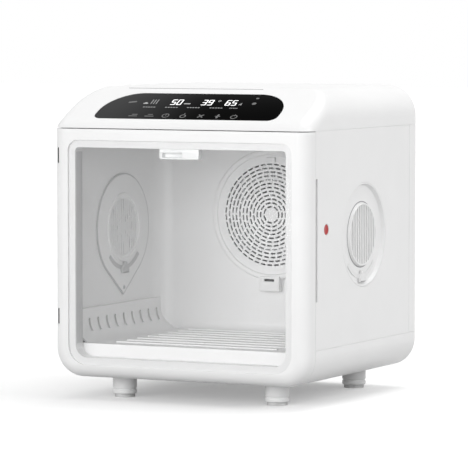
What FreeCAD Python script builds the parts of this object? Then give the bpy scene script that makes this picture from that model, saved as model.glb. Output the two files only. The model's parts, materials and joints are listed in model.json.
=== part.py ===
"""Free-standing warm-air drying cabinet with a hinged window door.

The front faces -Y, +Z is up and the origin is on the floor, under the middle
of the cabinet. Lengths are in millimetres and angles in degrees.
"""
import FreeCAD, Part
import math
import os
import re

import Sketcher

# Driving dimensions
SIZES = {
    # Cabinet outline
    "body_width": 440.0,
    "body_depth": 410.0,
    "body_rise": 387.0,
    "hood_rise": 63.0,
    "fascia_rise": 8.0,
    "slope_run": 106.0,
    "corner_radius": 45.0,
    "top_corner_radius": 48.0,
    "front_radius": 20.0,
    "rear_radius": 15.0,
    "brow_radius": 24.0,
    "shell_wall": 3.0,
    "seam_width": 0.8,
    "seam_depth": 0.8,
    "base_rise": 56.0,
    "rear_cover_depth": 36.0,
    # Feet
    "foot_radius": 19.0,
    "foot_height": 35.0,
    "foot_groove": 1.5,
    "foot_groove_rise": 12.0,
    "pad_thickness": 5.0,
    "pad_inset": 1.5,
    "foot_side_inset": 87.5,
    "front_foot_inset": 74.0,
    "rear_foot_inset": 55.0,
    # Door
    "door_thickness": 26.0,
    "door_gap": 0.6,
    "door_top_gap": 1.4,
    "window_stile": 39.0,
    "window_head": 30.0,
    "window_sill": 31.0,
    "window_top_radius": 6.0,
    "window_bottom_radius": 20.0,
    "pane_border": 11.0,
    "pane_thickness": 3.0,
    "pane_set_back": 0.4,
    "pane_gap": 0.4,
    "gasket_width": 5.5,
    "gasket_depth": 3.0,
    "gasket_lap": 3.5,
    "gasket_radius": 16.0,
    "catch_width": 68.0,
    "catch_drop": 16.0,
    "catch_depth": 12.0,
    "catch_wall": 2.5,
    "catch_lap": 6.0,
    "catch_rest_width": 34.0,
    "magnet_length": 24.0,
    "magnet_width": 6.0,
    "magnet_depth": 4.0,
    "magnet_inset": 7.5,
    "magnet_spread": 140.0,
    "strike_thickness": 1.5,
    # Hinges
    "hinge_inset": 8.0,
    "hinge_depth": 15.0,
    "hinge_height": 24.0,
    "upper_hinge_drop": 43.0,
    "lower_hinge_rise": 94.0,
    "pin_radius": 1.5,
    "pin_reach": 10.0,
    "barrel_radius": 3.2,
    "barrel_gap": 0.5,
    "arm_width": 6.0,
    "arm_root": 8.0,
    "arm_sweep": 8.0,
    "hinge_slot_width": 3.2,
    "running_gap": 0.05,
    # Chamber
    "ceiling_drop": 12.0,
    "deck_rise": 45.0,
    "deck_thickness": 4.0,
    "liner_wall": 3.0,
    "frame_thickness": 12.0,
    "deck_post_radius": 8.0,
    "deck_post_inset": 60.0,
    # Floor tray
    "tray_thickness": 6.0,
    "tray_gap": 0.5,
    "ridge_radius": 2.0,
    "ridge_margin": 22.0,
    "ridge_count": 8,
    # Side air ducts
    "duct_rise": 56.0,
    "duct_ledge": 8.0,
    "cove_radius": 36.0,
    "duct_wall": 3.0,
    "duct_slot_count": 9,
    "duct_slot_width": 6.5,
    "duct_slot_pitch": 28.0,
    "duct_slot_low": 20.0,
    "duct_slot_high": 40.0,
    "duct_slot_shift": 8.0,
    # Side vents
    "vent_shift": 4.0,
    "vent_drop": 165.0,
    "vent_radius": 80.7,
    "vent_clearance": 0.3,
    "vent_lip": 2.2,
    "vent_lip_draft": 2.5,
    "vent_recess": 5.5,
    "vent_skin": 2.2,
    "vent_flange": 5.0,
    "drum_gap": 6.0,
    "drum_draft": 1.5,
    "drum_rise": 4.0,
    "drum_rim": 4.0,
    "slat_slot": 3.4,
    "slat_count": 13,
    "shutter_margin": 1.0,
    "shutter_thickness": 1.8,
    "shutter_gap": 0.6,
    "shutter_clear": 0.9,
    "sector_inner": 12.0,
    "sector_margin": 5.0,
    "sector_angle": 22.5,
    "sector_count": 8,
    "stem_rise": 9.0,
    "lever_angle": 22.5,
    "stem_radius": 1.5,
    "stem_gap": 0.7,
    "pivot_radius": 4.0,
    "knob_edge_gap": 2.0,
    "knob_length": 18.0,
    "knob_base_length": 8.0,
    "knob_waist_length": 13.0,
    "knob_neck_width": 9.0,
    "knob_width": 22.0,
    "knob_thickness": 3.6,
    "shield_thickness": 0.5,
    "shield_gap": 0.3,
    "shield_lap": 1.2,
    "cover_lap": 3.3,
    "cover_tip_length": 22.0,
    "cover_thickness": 3.0,
    "cover_ring": 5.0,
    "cover_ring_rise": 2.0,
    "cover_screw_inset": 9.0,
    "screw_radius": 3.0,
    "screw_head": 1.6,
    "screw_length": 8.0,
    "screw_shank": 1.4,
    # Door release button and finger slit
    "slit_width": 6.0,
    "slit_depth": 12.0,
    "slit_top_drop": 72.0,
    "slit_length": 186.0,
    "button_radius": 8.0,
    "button_length": 4.5,
    "button_flange": 2.0,
    "button_flange_thickness": 1.4,
    "button_gap": 0.4,
    "button_travel": 2.0,
    "button_set_back": 0.3,
    "button_reach": 64.0,
    "button_drop": 150.0,
    "switch_size": 14.0,
    # Round fan grille in the back wall
    "fan_drop": 147.0,
    "grille_radius": 105.0,
    "grille_lap": 6.0,
    "grille_plate": 3.0,
    "grille_rim": 9.0,
    "grille_rim_rise": 6.0,
    "ring_count": 12,
    "first_ring": 13.0,
    "ring_margin": 13.4,
    "ring_slot_width": 2.6,
    "ring_slot_pitch": 11.8,
    "ring_slot_share": 0.74,
    "clip_width": 36.0,
    "clip_height": 24.0,
    "clip_depth": 12.0,
    "clip_drop": 99.0,
    "clip_gap": 0.3,
    "clip_slot_width": 18.0,
    "clip_slot_height": 4.0,
    "tab_margin": 2.0,
    "tab_width": 16.0,
    "tab_height": 8.0,
    "tab_depth": 4.0,
    # Blower, heater and air inlet
    "blower_lap": 1.0,
    "blower_wall": 3.0,
    "heater_corner_gap": 4.5,
    "heater_offset": 4.0,
    "heater_depth": 10.0,
    "heater_clear": 6.0,
    "heater_frame": 6.0,
    "heater_arm": 14.0,
    "heater_fin_count": 12,
    "heater_fin": 1.2,
    "impeller_tip_gap": 4.0,
    "impeller_depth": 22.0,
    "impeller_clear": 5.0,
    "hub_radius": 20.0,
    "blade_count": 9,
    "blade_thickness": 2.0,
    "blade_width": 24.0,
    "blade_pitch_angle": 40.0,
    "blade_root": 3.0,
    "shaft_radius": 4.0,
    "motor_radius": 32.0,
    "motor_depth": 18.0,
    "motor_clear": 3.0,
    "bracket_thickness": 3.0,
    "bracket_width": 18.0,
    "bracket_bore": 12.0,
    "intake_size": 170.0,
    "intake_rim": 8.0,
    "intake_radius": 14.0,
    "intake_slot": 5.0,
    "intake_slot_pitch": 11.0,
    "intake_slot_count": 13,
    "filter_thickness": 6.0,
    # Mains inlet and fasteners at the back
    "inlet_width": 48.0,
    "inlet_height": 28.0,
    "inlet_depth": 26.0,
    "inlet_wall": 4.0,
    "inlet_side": 120.0,
    "inlet_rise": 30.0,
    "prong_width": 4.0,
    "prong_height": 8.0,
    "prong_length": 15.0,
    "prong_spread": 12.0,
    "back_screw_side": 150.0,
    "back_screw_margin": 30.0,
    # Control panel and boards in the hood
    "panel_margin": 63.0,
    "panel_length": 82.0,
    "panel_start": 15.0,
    "panel_thickness": 2.0,
    "panel_top_radius": 58.0,
    "panel_bottom_radius": 14.0,
    "panel_gap": 0.3,
    "board_thickness": 1.6,
    "board_margin": 42.5,
    "board_edge": 12.0,
    "power_board_width": 150.0,
    "power_board_length": 90.0,
    "power_board_rise": 6.0,
    "power_board_shift": 40.0,
    "coil_size": 28.0,
    "coil_height": 22.0,
    "sensor_radius": 4.0,
    "sensor_drop": 9.0,
    "sensor_shift": 60.0,
}

# Lengths worked out from the driving dimensions
FORMULAS = {
    "half_width": "body_width / 2",
    "front_y": "-body_depth / 2",
    "rear_y": "body_depth / 2",
    "bottom_z": "foot_height",
    "seam_z": "bottom_z + body_rise",
    "top_z": "seam_z + hood_rise",
    "base_top_z": "bottom_z + base_rise",
    "slope_foot_z": "seam_z + fascia_rise",
    "slope_rise": "hood_rise - fascia_rise",
    "slope_tangent": "slope_rise / slope_run",
    "slope_secant": "sqrt(1 + slope_tangent * slope_tangent)",
    "rear_split_y": "rear_y - rear_cover_depth",
    "panel_inner_x": "half_width - shell_wall",
    "door_back_y": "front_y + door_thickness",
    "frame_front_y": "door_back_y + door_gap",
    "frame_back_y": "frame_front_y + frame_thickness",
    "window_low_z": "bottom_z + window_sill",
    "window_high_z": "seam_z - window_head",
    "window_half": "half_width - window_stile",
    "pane_front_y": "front_y + pane_set_back",
    "pane_back_y": "pane_front_y + pane_thickness",
    "hinge_x": "-half_width + hinge_inset",
    "hinge_y": "front_y + hinge_depth",
    "upper_hinge_z": "seam_z - upper_hinge_drop",
    "lower_hinge_z": "bottom_z + lower_hinge_rise",
    "vent_floor_x": "half_width - vent_recess",
    "vent_back_x": "vent_floor_x - vent_skin",
    "shutter_face_x": "vent_back_x - shutter_clear",
    "shutter_x": "shutter_face_x - shutter_thickness",
    "liner_outer_x": "shutter_x - shutter_gap",
    "chamber_half": "liner_outer_x - liner_wall",
    "deck_top_z": "bottom_z + deck_rise",
    "ceiling_z": "seam_z - ceiling_drop",
    "ceiling_top_z": "ceiling_z + liner_wall",
    "impeller_offset": "heater_offset + heater_depth + heater_clear",
    "blower_depth": "impeller_offset + impeller_depth + impeller_clear",
    "drive_depth": "blower_depth + bracket_thickness + motor_depth + motor_clear",
    "plenum_depth": "liner_wall + drive_depth + filter_thickness + shell_wall",
    "back_wall_y": "rear_y - plenum_depth",
    "plenum_y": "back_wall_y + liner_wall",
    "shell_back_y": "rear_y - shell_wall",
    "tray_half": "chamber_half - duct_ledge - cove_radius - tray_gap",
    "tray_top_z": "deck_top_z + tray_thickness",
    "cove_z": "deck_top_z + duct_wall + cove_radius",
    "vent_y": "-vent_shift",
    "vent_z": "seam_z - vent_drop",
    "drum_face_x": "vent_floor_x + drum_rise",
    "vent_floor_radius": "vent_radius - vent_lip - vent_lip_draft",
    "knob_bottom": "vent_floor_radius - knob_edge_gap",
    "knob_top": "knob_bottom - knob_length",
    "knob_shoulder": "knob_bottom - knob_base_length",
    "knob_waist": "knob_bottom - knob_waist_length",
    "lever_reach": "knob_bottom - stem_rise",
    "shutter_radius": "knob_bottom - shutter_margin",
    "drum_radius": "knob_top - drum_gap",
    "sector_outer": "drum_radius - sector_margin",
    "slat_pitch": "2 * (drum_radius - drum_rim) / (slat_count + 1)",
    "cover_radius": "vent_radius + cover_lap",
    "cover_tip": "cover_radius + cover_tip_length",
    "cover_screw_drop": "cover_tip - cover_screw_inset",
    "knob_gap": "shield_gap + shield_thickness",
    "slot_half": "stem_radius + stem_gap",
    "slot_half_angle": "lever_angle + slot_half / lever_reach * 180 / pi",
    "outer_knob_x": "vent_floor_x + knob_gap",
    "cover_face_x": "chamber_half - cover_thickness",
    "inner_knob_x": "cover_face_x - knob_gap - knob_thickness",
    "slit_high_z": "seam_z - slit_top_drop",
    "slit_low_z": "slit_high_z - slit_length",
    "button_y": "front_y + button_reach",
    "button_z": "seam_z - button_drop",
    "button_face_x": "half_width - button_set_back",
    "button_back_x": "button_face_x - button_length",
    "fan_z": "seam_z - fan_drop",
    "grille_face_y": "back_wall_y - grille_plate",
    "ring_edge": "grille_radius - grille_rim - ring_margin - ring_slot_width / 2",
    "ring_pitch": "(ring_edge - first_ring) / (ring_count - 1)",
    "grille_bore": "grille_radius - grille_rim - grille_lap",
    "blower_radius": "grille_bore + blower_lap",
    "blower_bore": "blower_radius - blower_wall",
    "impeller_radius": "blower_bore - impeller_tip_gap",
    "heater_size": "(blower_bore - heater_corner_gap) * sqrt(2)",
    "impeller_y": "plenum_y + impeller_offset",
    "impeller_back_y": "impeller_y + impeller_depth",
    "blower_back_y": "plenum_y + blower_depth",
    "motor_front_y": "blower_back_y + bracket_thickness",
    "motor_back_y": "motor_front_y + motor_depth",
    "filter_front_y": "shell_back_y - filter_thickness",
    "inlet_z": "base_top_z + inlet_rise",
    "panel_half": "half_width - panel_margin",
    "board_width": "2 * (panel_half - board_margin)",
    "board_length": "panel_length - 2 * board_edge",
    "foot_x": "half_width - foot_side_inset",
    "front_foot_y": "front_y + front_foot_inset",
    "rear_foot_y": "rear_y - rear_foot_inset",
}

X_AXIS = FreeCAD.Vector(1, 0, 0)
Y_AXIS = FreeCAD.Vector(0, 1, 0)
Z_AXIS = FreeCAD.Vector(0, 0, 1)
FULL_TURN = 360.0
QUARTER_TURN = 90.0
TOUCH = 0.001
# Names that sketches give to the origin and to the ends of a line
ORIGIN, START, END = -1, 1, 2

doc = FreeCAD.newDocument("drying_cabinet")
sheet = doc.addObject("Spreadsheet::Sheet", "Sizes")
sub_parts = {}


def fill_sheet():
    """Write every size and formula to its own named cell."""
    entries = {name: str(value) for name, value in SIZES.items()}
    entries.update({name: "=" + formula for name, formula in FORMULAS.items()})
    for row, (name, text) in enumerate(entries.items(), start=1):
        sheet.set(f"A{row}", name)
        sheet.set(f"B{row}", text)
        sheet.setAlias(f"B{row}", name)
    doc.recompute()


def linked(formula):
    """Turn the size names of a formula into references to the sheet's cells."""
    def reference(word):
        name = word.group(0)
        return "Sizes." + name if name in SIZES or name in FORMULAS else name
    return re.sub(r"[a-z_][a-z_0-9]*", reference, formula)


def number(formula):
    """Value of a formula of size names, for the places that need a number."""
    return float(sheet.evalExpression(formula))


def bind(item, **formulas):
    """Bind properties to formulas; a double underscore stands for a dot."""
    for path, formula in formulas.items():
        item.setExpression(path.replace("__", "."), linked(formula))
    return item


def sub_part(label, item):
    """Name an object as one physical piece of the cabinet."""
    item.Label = label
    sub_parts[label] = item
    return item


# Solids from primitives

def box(name, x, y, z):
    """Block between low and high formulas along each axis."""
    block = doc.addObject("Part::Box", name)
    return bind(
        block,
        Length=f"({x[1]}) - ({x[0]})", Width=f"({y[1]}) - ({y[0]})", Height=f"({z[1]}) - ({z[0]})",
        Placement__Base__x=x[0], Placement__Base__y=y[0], Placement__Base__z=z[0],
    )


AXIS_TURNS = {
    "x": FreeCAD.Rotation(Y_AXIS, QUARTER_TURN),
    "y": FreeCAD.Rotation(X_AXIS, -QUARTER_TURN),
    "z": FreeCAD.Rotation(),
}


def cylinder(name, axis, radius, span, across, turn=0.0, angle="360"):
    """Round bar along an axis; a smaller angle leaves a sector centred below the axis line."""
    bar = doc.addObject("Part::Cylinder", name)
    spin = FreeCAD.Rotation(Z_AXIS, turn)
    bar.Placement = FreeCAD.Placement(FreeCAD.Vector(), AXIS_TURNS[axis].multiply(spin))
    places = dict(zip([letter for letter in "xyz" if letter != axis], across))
    places[axis] = span[0]
    bind(bar, Radius=radius, Height=f"({span[1]}) - ({span[0]})", Angle=angle)
    for letter, formula in places.items():
        bar.setExpression("Placement.Base." + letter, linked(formula))
    return bar


def ring(name, axis, outer, inner, span, across, turn=0.0, angle="360"):
    """Tube, or a sector of one."""
    solid = cylinder(name + "_outer", axis, outer, span, across, turn, angle)
    hollow = cylinder(name + "_inner", axis, inner, span, across, turn, angle)
    return cut(name, solid, hollow)


def fuse(name, *solids):
    """One solid from several."""
    item = doc.addObject("Part::MultiFuse", name)
    item.Shapes = list(solids)
    return item


def common(name, *solids):
    """What several solids share."""
    item = doc.addObject("Part::MultiCommon", name)
    item.Shapes = list(solids)
    return item


def cut(name, base, *tools):
    """A solid less one or more tools."""
    item = doc.addObject("Part::Cut", name)
    item.Base = base
    item.Tool = tools[0] if len(tools) == 1 else fuse(name + "_tools", *tools)
    return item


def group(name, *solids):
    """Separate solids that share one node."""
    item = doc.addObject("Part::Compound", name)
    item.Links = list(solids)
    return item


def mirrored(name, solid):
    """The same solid on the other side of the cabinet's middle plane."""
    item = doc.addObject("Part::Mirroring", name)
    item.Source = solid
    item.Normal = X_AXIS
    return item


def both_sides(label, right_solid):
    """Name a right-hand piece and its mirrored left-hand twin."""
    sub_part("right_" + label, right_solid)
    sub_part("left_" + label, mirrored("left_" + label, right_solid))


# Solids from sketches

def new_body(name):
    """Empty body; its origin planes are found by their role."""
    return doc.addObject("PartDesign::Body", name)


def new_sketch(body, name, plane):
    """Sketch on one of the body's origin planes."""
    planes = {feature.Role: feature for feature in body.Origin.OriginFeatures}
    sketch = body.newObject("Sketcher::SketchObject", name)
    sketch.AttachmentSupport = [(planes[plane], "")]
    sketch.MapMode = "FlatFace"
    return sketch


def hold(sketch, kind, *places, formula):
    """Add a dimension that follows a formula."""
    index = sketch.addConstraint(Sketcher.Constraint(kind, *places, number(formula)))
    sketch.setExpression(f"Constraints[{index}]", linked(formula))


def add_polygon(sketch, points):
    """Closed outline of straight lines through points given as pairs of formulas."""
    corners = [FreeCAD.Vector(number(u), number(v)) for u, v in points]
    count = len(points)
    for index in range(count):
        sketch.addGeometry(Part.LineSegment(corners[index], corners[(index + 1) % count]))
    for index in range(count):
        sketch.addConstraint(Sketcher.Constraint("Coincident", index, END, (index + 1) % count, START))
    for index, (u, v) in enumerate(points):
        hold(sketch, "DistanceX", ORIGIN, START, index, START, formula=u)
        hold(sketch, "DistanceY", ORIGIN, START, index, START, formula=v)


def add_rounded_outline(sketch, across, along, low_radius, high_radius):
    """Rectangle whose two lower and two upper corners are arcs."""
    low_u, high_u = number(across[0]), number(across[1])
    low_v, high_v = number(along[0]), number(along[1])
    low_r, high_r = number(low_radius), number(high_radius)
    point = FreeCAD.Vector
    lines = [
        (point(low_u + low_r, low_v), point(high_u - low_r, low_v)),
        (point(high_u, low_v + low_r), point(high_u, high_v - high_r)),
        (point(high_u - high_r, high_v), point(low_u + high_r, high_v)),
        (point(low_u, high_v - high_r), point(low_u, low_v + low_r)),
    ]
    arcs = [
        (point(high_u - low_r, low_v + low_r), low_r),
        (point(high_u - high_r, high_v - high_r), high_r),
        (point(low_u + high_r, high_v - high_r), high_r),
        (point(low_u + low_r, low_v + low_r), low_r),
    ]
    corner = math.pi / 2
    for index, (line, (centre, radius)) in enumerate(zip(lines, arcs)):
        start = corner * (index - 1)
        sketch.addGeometry(Part.LineSegment(*line))
        sketch.addGeometry(Part.ArcOfCircle(Part.Circle(centre, Z_AXIS, radius), start, start + corner))
    side_count = 2 * len(lines)
    for line in range(0, side_count, 2):
        arc = line + 1
        sketch.addConstraint(Sketcher.Constraint("Tangent", line, END, arc, START))
        sketch.addConstraint(Sketcher.Constraint("Tangent", arc, END, (line + 2) % side_count, START))
    bottom, right, top, left = range(0, side_count, 2)
    for line, kind in ((bottom, "Horizontal"), (right, "Vertical"), (top, "Horizontal"), (left, "Vertical")):
        sketch.addConstraint(Sketcher.Constraint(kind, line))
    hold(sketch, "DistanceX", ORIGIN, START, right, START, formula=across[1])
    hold(sketch, "DistanceX", ORIGIN, START, left, START, formula=across[0])
    hold(sketch, "DistanceY", ORIGIN, START, bottom, START, formula=along[0])
    hold(sketch, "DistanceY", ORIGIN, START, top, START, formula=along[1])
    for line, formula in ((bottom, low_radius), (right, high_radius), (top, high_radius), (left, low_radius)):
        hold(sketch, "Radius", line + 1, formula=formula)


def add_pad(body, name, sketch, length):
    """Raise a sketch into a solid."""
    pad = body.newObject("PartDesign::Pad", name)
    pad.Profile = sketch
    return bind(pad, Length=length)


def add_fillet(body, name, base, edges, radius):
    """Round the named edges of the body's last feature."""
    fillet = body.newObject("PartDesign::Fillet", name)
    fillet.Base = (base, edges)
    bind(fillet, Radius=radius)
    doc.recompute()
    return fillet


def upright_slab(name, across, height, low_radius, high_radius, span):
    """Rounded plate that stands across the cabinet, between two depths."""
    body = new_body(name)
    sketch = new_sketch(body, name + "_outline", "XZ_Plane")
    add_rounded_outline(sketch, across, height, low_radius, high_radius)
    add_pad(body, name + "_pad", sketch, f"({span[1]}) - ({span[0]})")
    return bind(body, Placement__Base__y=span[1])


def turned(name, points, turn_axis="H_Axis", **place):
    """Solid of revolution; points are pairs of formulas in the sketch."""
    body = new_body(name)
    sketch = new_sketch(body, name + "_profile", "XY_Plane" if turn_axis == "H_Axis" else "XZ_Plane")
    add_polygon(sketch, points)
    revolution = body.newObject("PartDesign::Revolution", name + "_turn")
    revolution.Profile = sketch
    revolution.ReferenceAxis = (sketch, [turn_axis])
    revolution.Angle = FULL_TURN
    return bind(body, **place)


def level_edges(shape, axis, level):
    """Names of the edges that lie in a plane square to an axis."""
    names = []
    for index, edge in enumerate(shape.Edges, start=1):
        limits = edge.BoundBox
        low = getattr(limits, axis.upper() + "Min")
        high = getattr(limits, axis.upper() + "Max")
        if abs(low - level) < TOUCH and abs(high - level) < TOUCH:
            names.append(f"Edge{index}")
    return names


def cabinet_form(name, inset):
    """Whole cabinet as one solid with its sloping brow, set in by a formula on every side."""
    body = new_body(name)
    depth = f"(body_depth - 2 * ({inset}))"
    outline = new_sketch(body, name + "_outline", "XZ_Plane")
    add_rounded_outline(
        outline,
        (f"-half_width + ({inset})", f"half_width - ({inset})"),
        (f"bottom_z + ({inset})", f"top_z - ({inset})"),
        f"corner_radius - ({inset})", f"top_corner_radius - ({inset})",
    )
    pad = add_pad(body, name + "_pad", outline, depth)

    # The slope falls forward from the flat top to the fascia
    slope = new_sketch(body, name + "_slope", "YZ_Plane")
    foot = f"(slope_foot_z + ({inset}) * (slope_tangent - slope_secant))"
    crest = f"(top_z - ({inset}))"
    clear = "hood_rise"
    crest_y = f"-{depth} + ({crest} - {foot}) / slope_tangent"
    add_polygon(slope, [
        (f"-{depth}", foot),
        (crest_y, crest),
        (crest_y, f"{crest} + {clear}"),
        (f"-{depth} - {clear}", f"{crest} + {clear}"),
        (f"-{depth} - {clear}", foot),
    ])
    brow = body.newObject("PartDesign::Pocket", name + "_brow")
    brow.Profile = slope
    brow.Type = "ThroughAll"
    brow.SideType = "Symmetric"
    doc.recompute()

    # Edges of the brow, the front and the back are rounded in turn
    front = -number(depth)
    brow_edges = [
        edge for edge in level_edges(brow.Shape, "z", number(foot))
        if edge in level_edges(brow.Shape, "y", front)
    ]
    brow_round = add_fillet(body, name + "_brow_round", brow, brow_edges, f"brow_radius - ({inset})")
    front_round = add_fillet(
        body, name + "_front_round", brow_round, forward_rim(brow_round.Shape), f"front_radius - ({inset})")
    back_edges = level_edges(front_round.Shape, "y", 0.0)
    add_fillet(body, name + "_back_round", front_round, back_edges, f"rear_radius - ({inset})")
    return bind(body, Placement__Base__y=f"rear_y - ({inset})")


def forward_rim(shape):
    """Names of the edges around the faces that look forward."""
    forward = []
    for face in shape.Faces:
        low_u, high_u, low_v, high_v = face.ParameterRange
        if face.normalAt((low_u + high_u) / 2, (low_v + high_v) / 2).y < -TOUCH:
            forward.append(face)
    names = []
    for index, edge in enumerate(shape.Edges, start=1):
        owners = [face for face in forward if any(edge.isSame(side) for side in face.Edges)]
        if len(owners) == 1:
            names.append(f"Edge{index}")
    return names


HINGES = (("upper", "upper_hinge_z"), ("lower", "lower_hinge_z"))
WIDE = ("-body_width", "body_width")


# Casing

def make_casing():
    """Base, side panels, rear cover and hood, cut from one hollow form along their seams."""
    outer = cabinet_form("outer_form", "0")
    inner = cabinet_form("inner_form", "shell_wall")
    core = cabinet_form("seam_form", "seam_depth")
    shell = cut("cabinet_shell", outer, inner)
    behind_door = ("frame_front_y", "body_depth")
    base_band = ("0", "base_top_z")
    wall_band = ("base_top_z", "seam_z")
    seams = cut(
        "seam_grooves",
        fuse(
            "seam_slabs",
            box("base_seam", WIDE, behind_door, ("base_top_z - seam_width", "base_top_z")),
            box("hood_seam", WIDE, behind_door, ("seam_z - seam_width", "seam_z")),
            box("rear_seam", WIDE, ("rear_split_y - seam_width", "rear_split_y"), wall_band),
        ),
        core,
    )
    base = common("base_blank", shell, box("base_space", WIDE, behind_door, base_band))
    posts = [
        cylinder(
            f"deck_post_{side}_{end}", "z", "deck_post_radius",
            ("bottom_z + shell_wall", "deck_top_z - deck_thickness"),
            (f"{sign} * (half_width - deck_post_inset)", place))
        for side, sign in (("left", -1), ("right", 1))
        for end, place in (("front", "frame_back_y + deck_post_inset"), ("rear", "rear_y - deck_post_inset"))
    ]
    sub_part("base_shell", fuse("base_shell", cut("base_grooved", base, seams), *posts))

    side_span = ("frame_front_y", "rear_split_y")
    right_wall = ("chamber_half", "body_width")
    vent_hole = cylinder(
        "vent_hole", "x", "vent_radius + vent_clearance", right_wall, ("vent_y", "vent_z"))
    button_hole = cylinder(
        "button_hole", "x", "button_radius + button_gap", right_wall, ("button_y", "button_z"))
    right_space = box("right_space", right_wall, side_span, wall_band)
    left_space = box("left_space", ("-body_width", "-chamber_half"), side_span, wall_band)
    sub_part("right_side_panel", cut(
        "right_side_panel", common("right_blank", shell, right_space),
        seams, vent_hole, button_hole, finger_slit("panel_slit")))
    sub_part("left_side_panel", cut(
        "left_side_panel", common("left_blank", shell, left_space),
        seams, mirrored("left_vent_hole", vent_hole)))

    rear_space = box("rear_space", WIDE, ("rear_split_y", "body_depth"), wall_band)
    intake = upright_slab(
        "intake_hole", ("-intake_size / 2", "intake_size / 2"),
        ("fan_z - intake_size / 2", "fan_z + intake_size / 2"),
        "intake_radius", "intake_radius", ("rear_split_y", "body_depth"))
    sub_part("rear_cover", cut(
        "rear_cover", common("rear_blank", shell, rear_space), seams, intake, inlet_block("inlet_hole"),
        *back_screws("back_screw_hole", "screw_shank", ("rear_split_y", "body_depth")),
        *back_screws("back_screw_sink", "screw_radius", ("rear_y - screw_head", "body_depth"))))

    hood_space = box("hood_space", WIDE, ("-body_depth", "body_depth"), ("seam_z", "2 * top_z"))
    recess = panel_plate("panel_recess", "panel_gap", ("-panel_thickness", "panel_thickness"))
    board_hole = board_plate("board_hole", "panel_gap", ("-2 * shell_wall", "-panel_thickness"))
    # A sill closes the hood's underside above the door and rests on the front frame
    sill = common("hood_sill", inner, box(
        "sill_space", WIDE, ("-body_depth", "frame_back_y"), ("seam_z", "seam_z + shell_wall")))
    hood = fuse("hood_with_sill", common("hood_blank", shell, hood_space), sill)
    sub_part("top_cover", cut("top_cover", hood, recess, board_hole))
    return outer, inner


def finger_slit(name):
    """Space for the fingertips that pull the door's free edge."""
    return box(
        name, ("half_width - slit_depth", "body_width"), ("-body_depth", "frame_front_y + slit_width"),
        ("slit_low_z", "slit_high_z"))


def back_screws(name, radius, span):
    """Four round bars at the rear cover's screw places."""
    heights = ("base_top_z + back_screw_margin", "seam_z - back_screw_margin")
    return [
        cylinder(f"{name}_{side}_{level}", "y", radius, span, (f"{sign} * back_screw_side", height))
        for side, sign in (("left", -1), ("right", 1))
        for level, height in zip(("low", "high"), heights)
    ]


def make_front_frame(inner):
    """Upright frame around the chamber's mouth, which carries the hinges."""
    blank = common("frame_blank", inner, box(
        "frame_space", WIDE, ("frame_front_y", "frame_back_y"), ("0", "seam_z")))
    mouth = box(
        "frame_mouth", ("-chamber_half", "chamber_half"), ("-body_depth", "body_depth"),
        ("deck_top_z", "ceiling_z"))
    sockets = [hinge_arm(f"{level}_hinge_socket", height) for level, height in HINGES]
    strikes = magnet_blocks("strike_pocket", ("frame_front_y", "frame_front_y + strike_thickness"))
    sub_part("front_frame", cut(
        "front_frame", blank, mouth, finger_slit("frame_slit"), *sockets, *strikes))
    sub_part("strike_plates", group("strike_plates", *magnet_blocks(
        "strike_plate", ("frame_front_y", "frame_front_y + strike_thickness"))))


def magnet_blocks(name, span):
    """Two upright blocks near the door's free edge."""
    centre_x = "(half_width - magnet_inset)"
    across = (f"{centre_x} - magnet_width / 2", f"{centre_x} + magnet_width / 2")
    middle = "(bottom_z + body_rise / 2)"
    return [
        box(f"{name}_{level}", across, span, (
            f"{middle} {sign} magnet_spread - magnet_length / 2",
            f"{middle} {sign} magnet_spread + magnet_length / 2"))
        for level, sign in (("low", "-"), ("high", "+"))
    ]


# Door and hinges

def hinge_arm(name, height):
    """Block of a hinge bracket that sits in the front frame."""
    return box(
        name, ("hinge_x - arm_width / 2", "hinge_x + arm_width / 2"),
        ("frame_front_y", "frame_front_y + arm_root"),
        (f"{height} - hinge_height / 2", f"{height} + hinge_height / 2"))


def make_hinges():
    """Two brackets with barrels, and the pins that the door turns on."""
    pins = []
    axis_place = ("hinge_x", "hinge_y")
    for level, height in HINGES:
        span = (f"{height} - hinge_height / 2", f"{height} + hinge_height / 2")
        barrel = cylinder(f"{level}_barrel", "z", "barrel_radius", span, axis_place)
        neck = box(
            f"{level}_neck", ("hinge_x - arm_width / 2", "hinge_x + arm_width / 2"),
            ("hinge_y", "frame_front_y"), span)
        bore = cylinder(f"{level}_barrel_bore", "z", "pin_radius", span, axis_place)
        solid = fuse(f"{level}_bracket_blank", barrel, neck, hinge_arm(f"{level}_arm", height))
        sub_part(f"{level}_hinge_bracket", cut(f"{level}_hinge_bracket", solid, bore))
        reach = (f"{span[0]} - pin_reach", f"{span[1]} + pin_reach")
        pins.append(cylinder(f"{level}_pin", "z", "pin_radius", reach, axis_place))
    sub_part("hinge_pins", group("hinge_pins", *pins))


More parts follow.
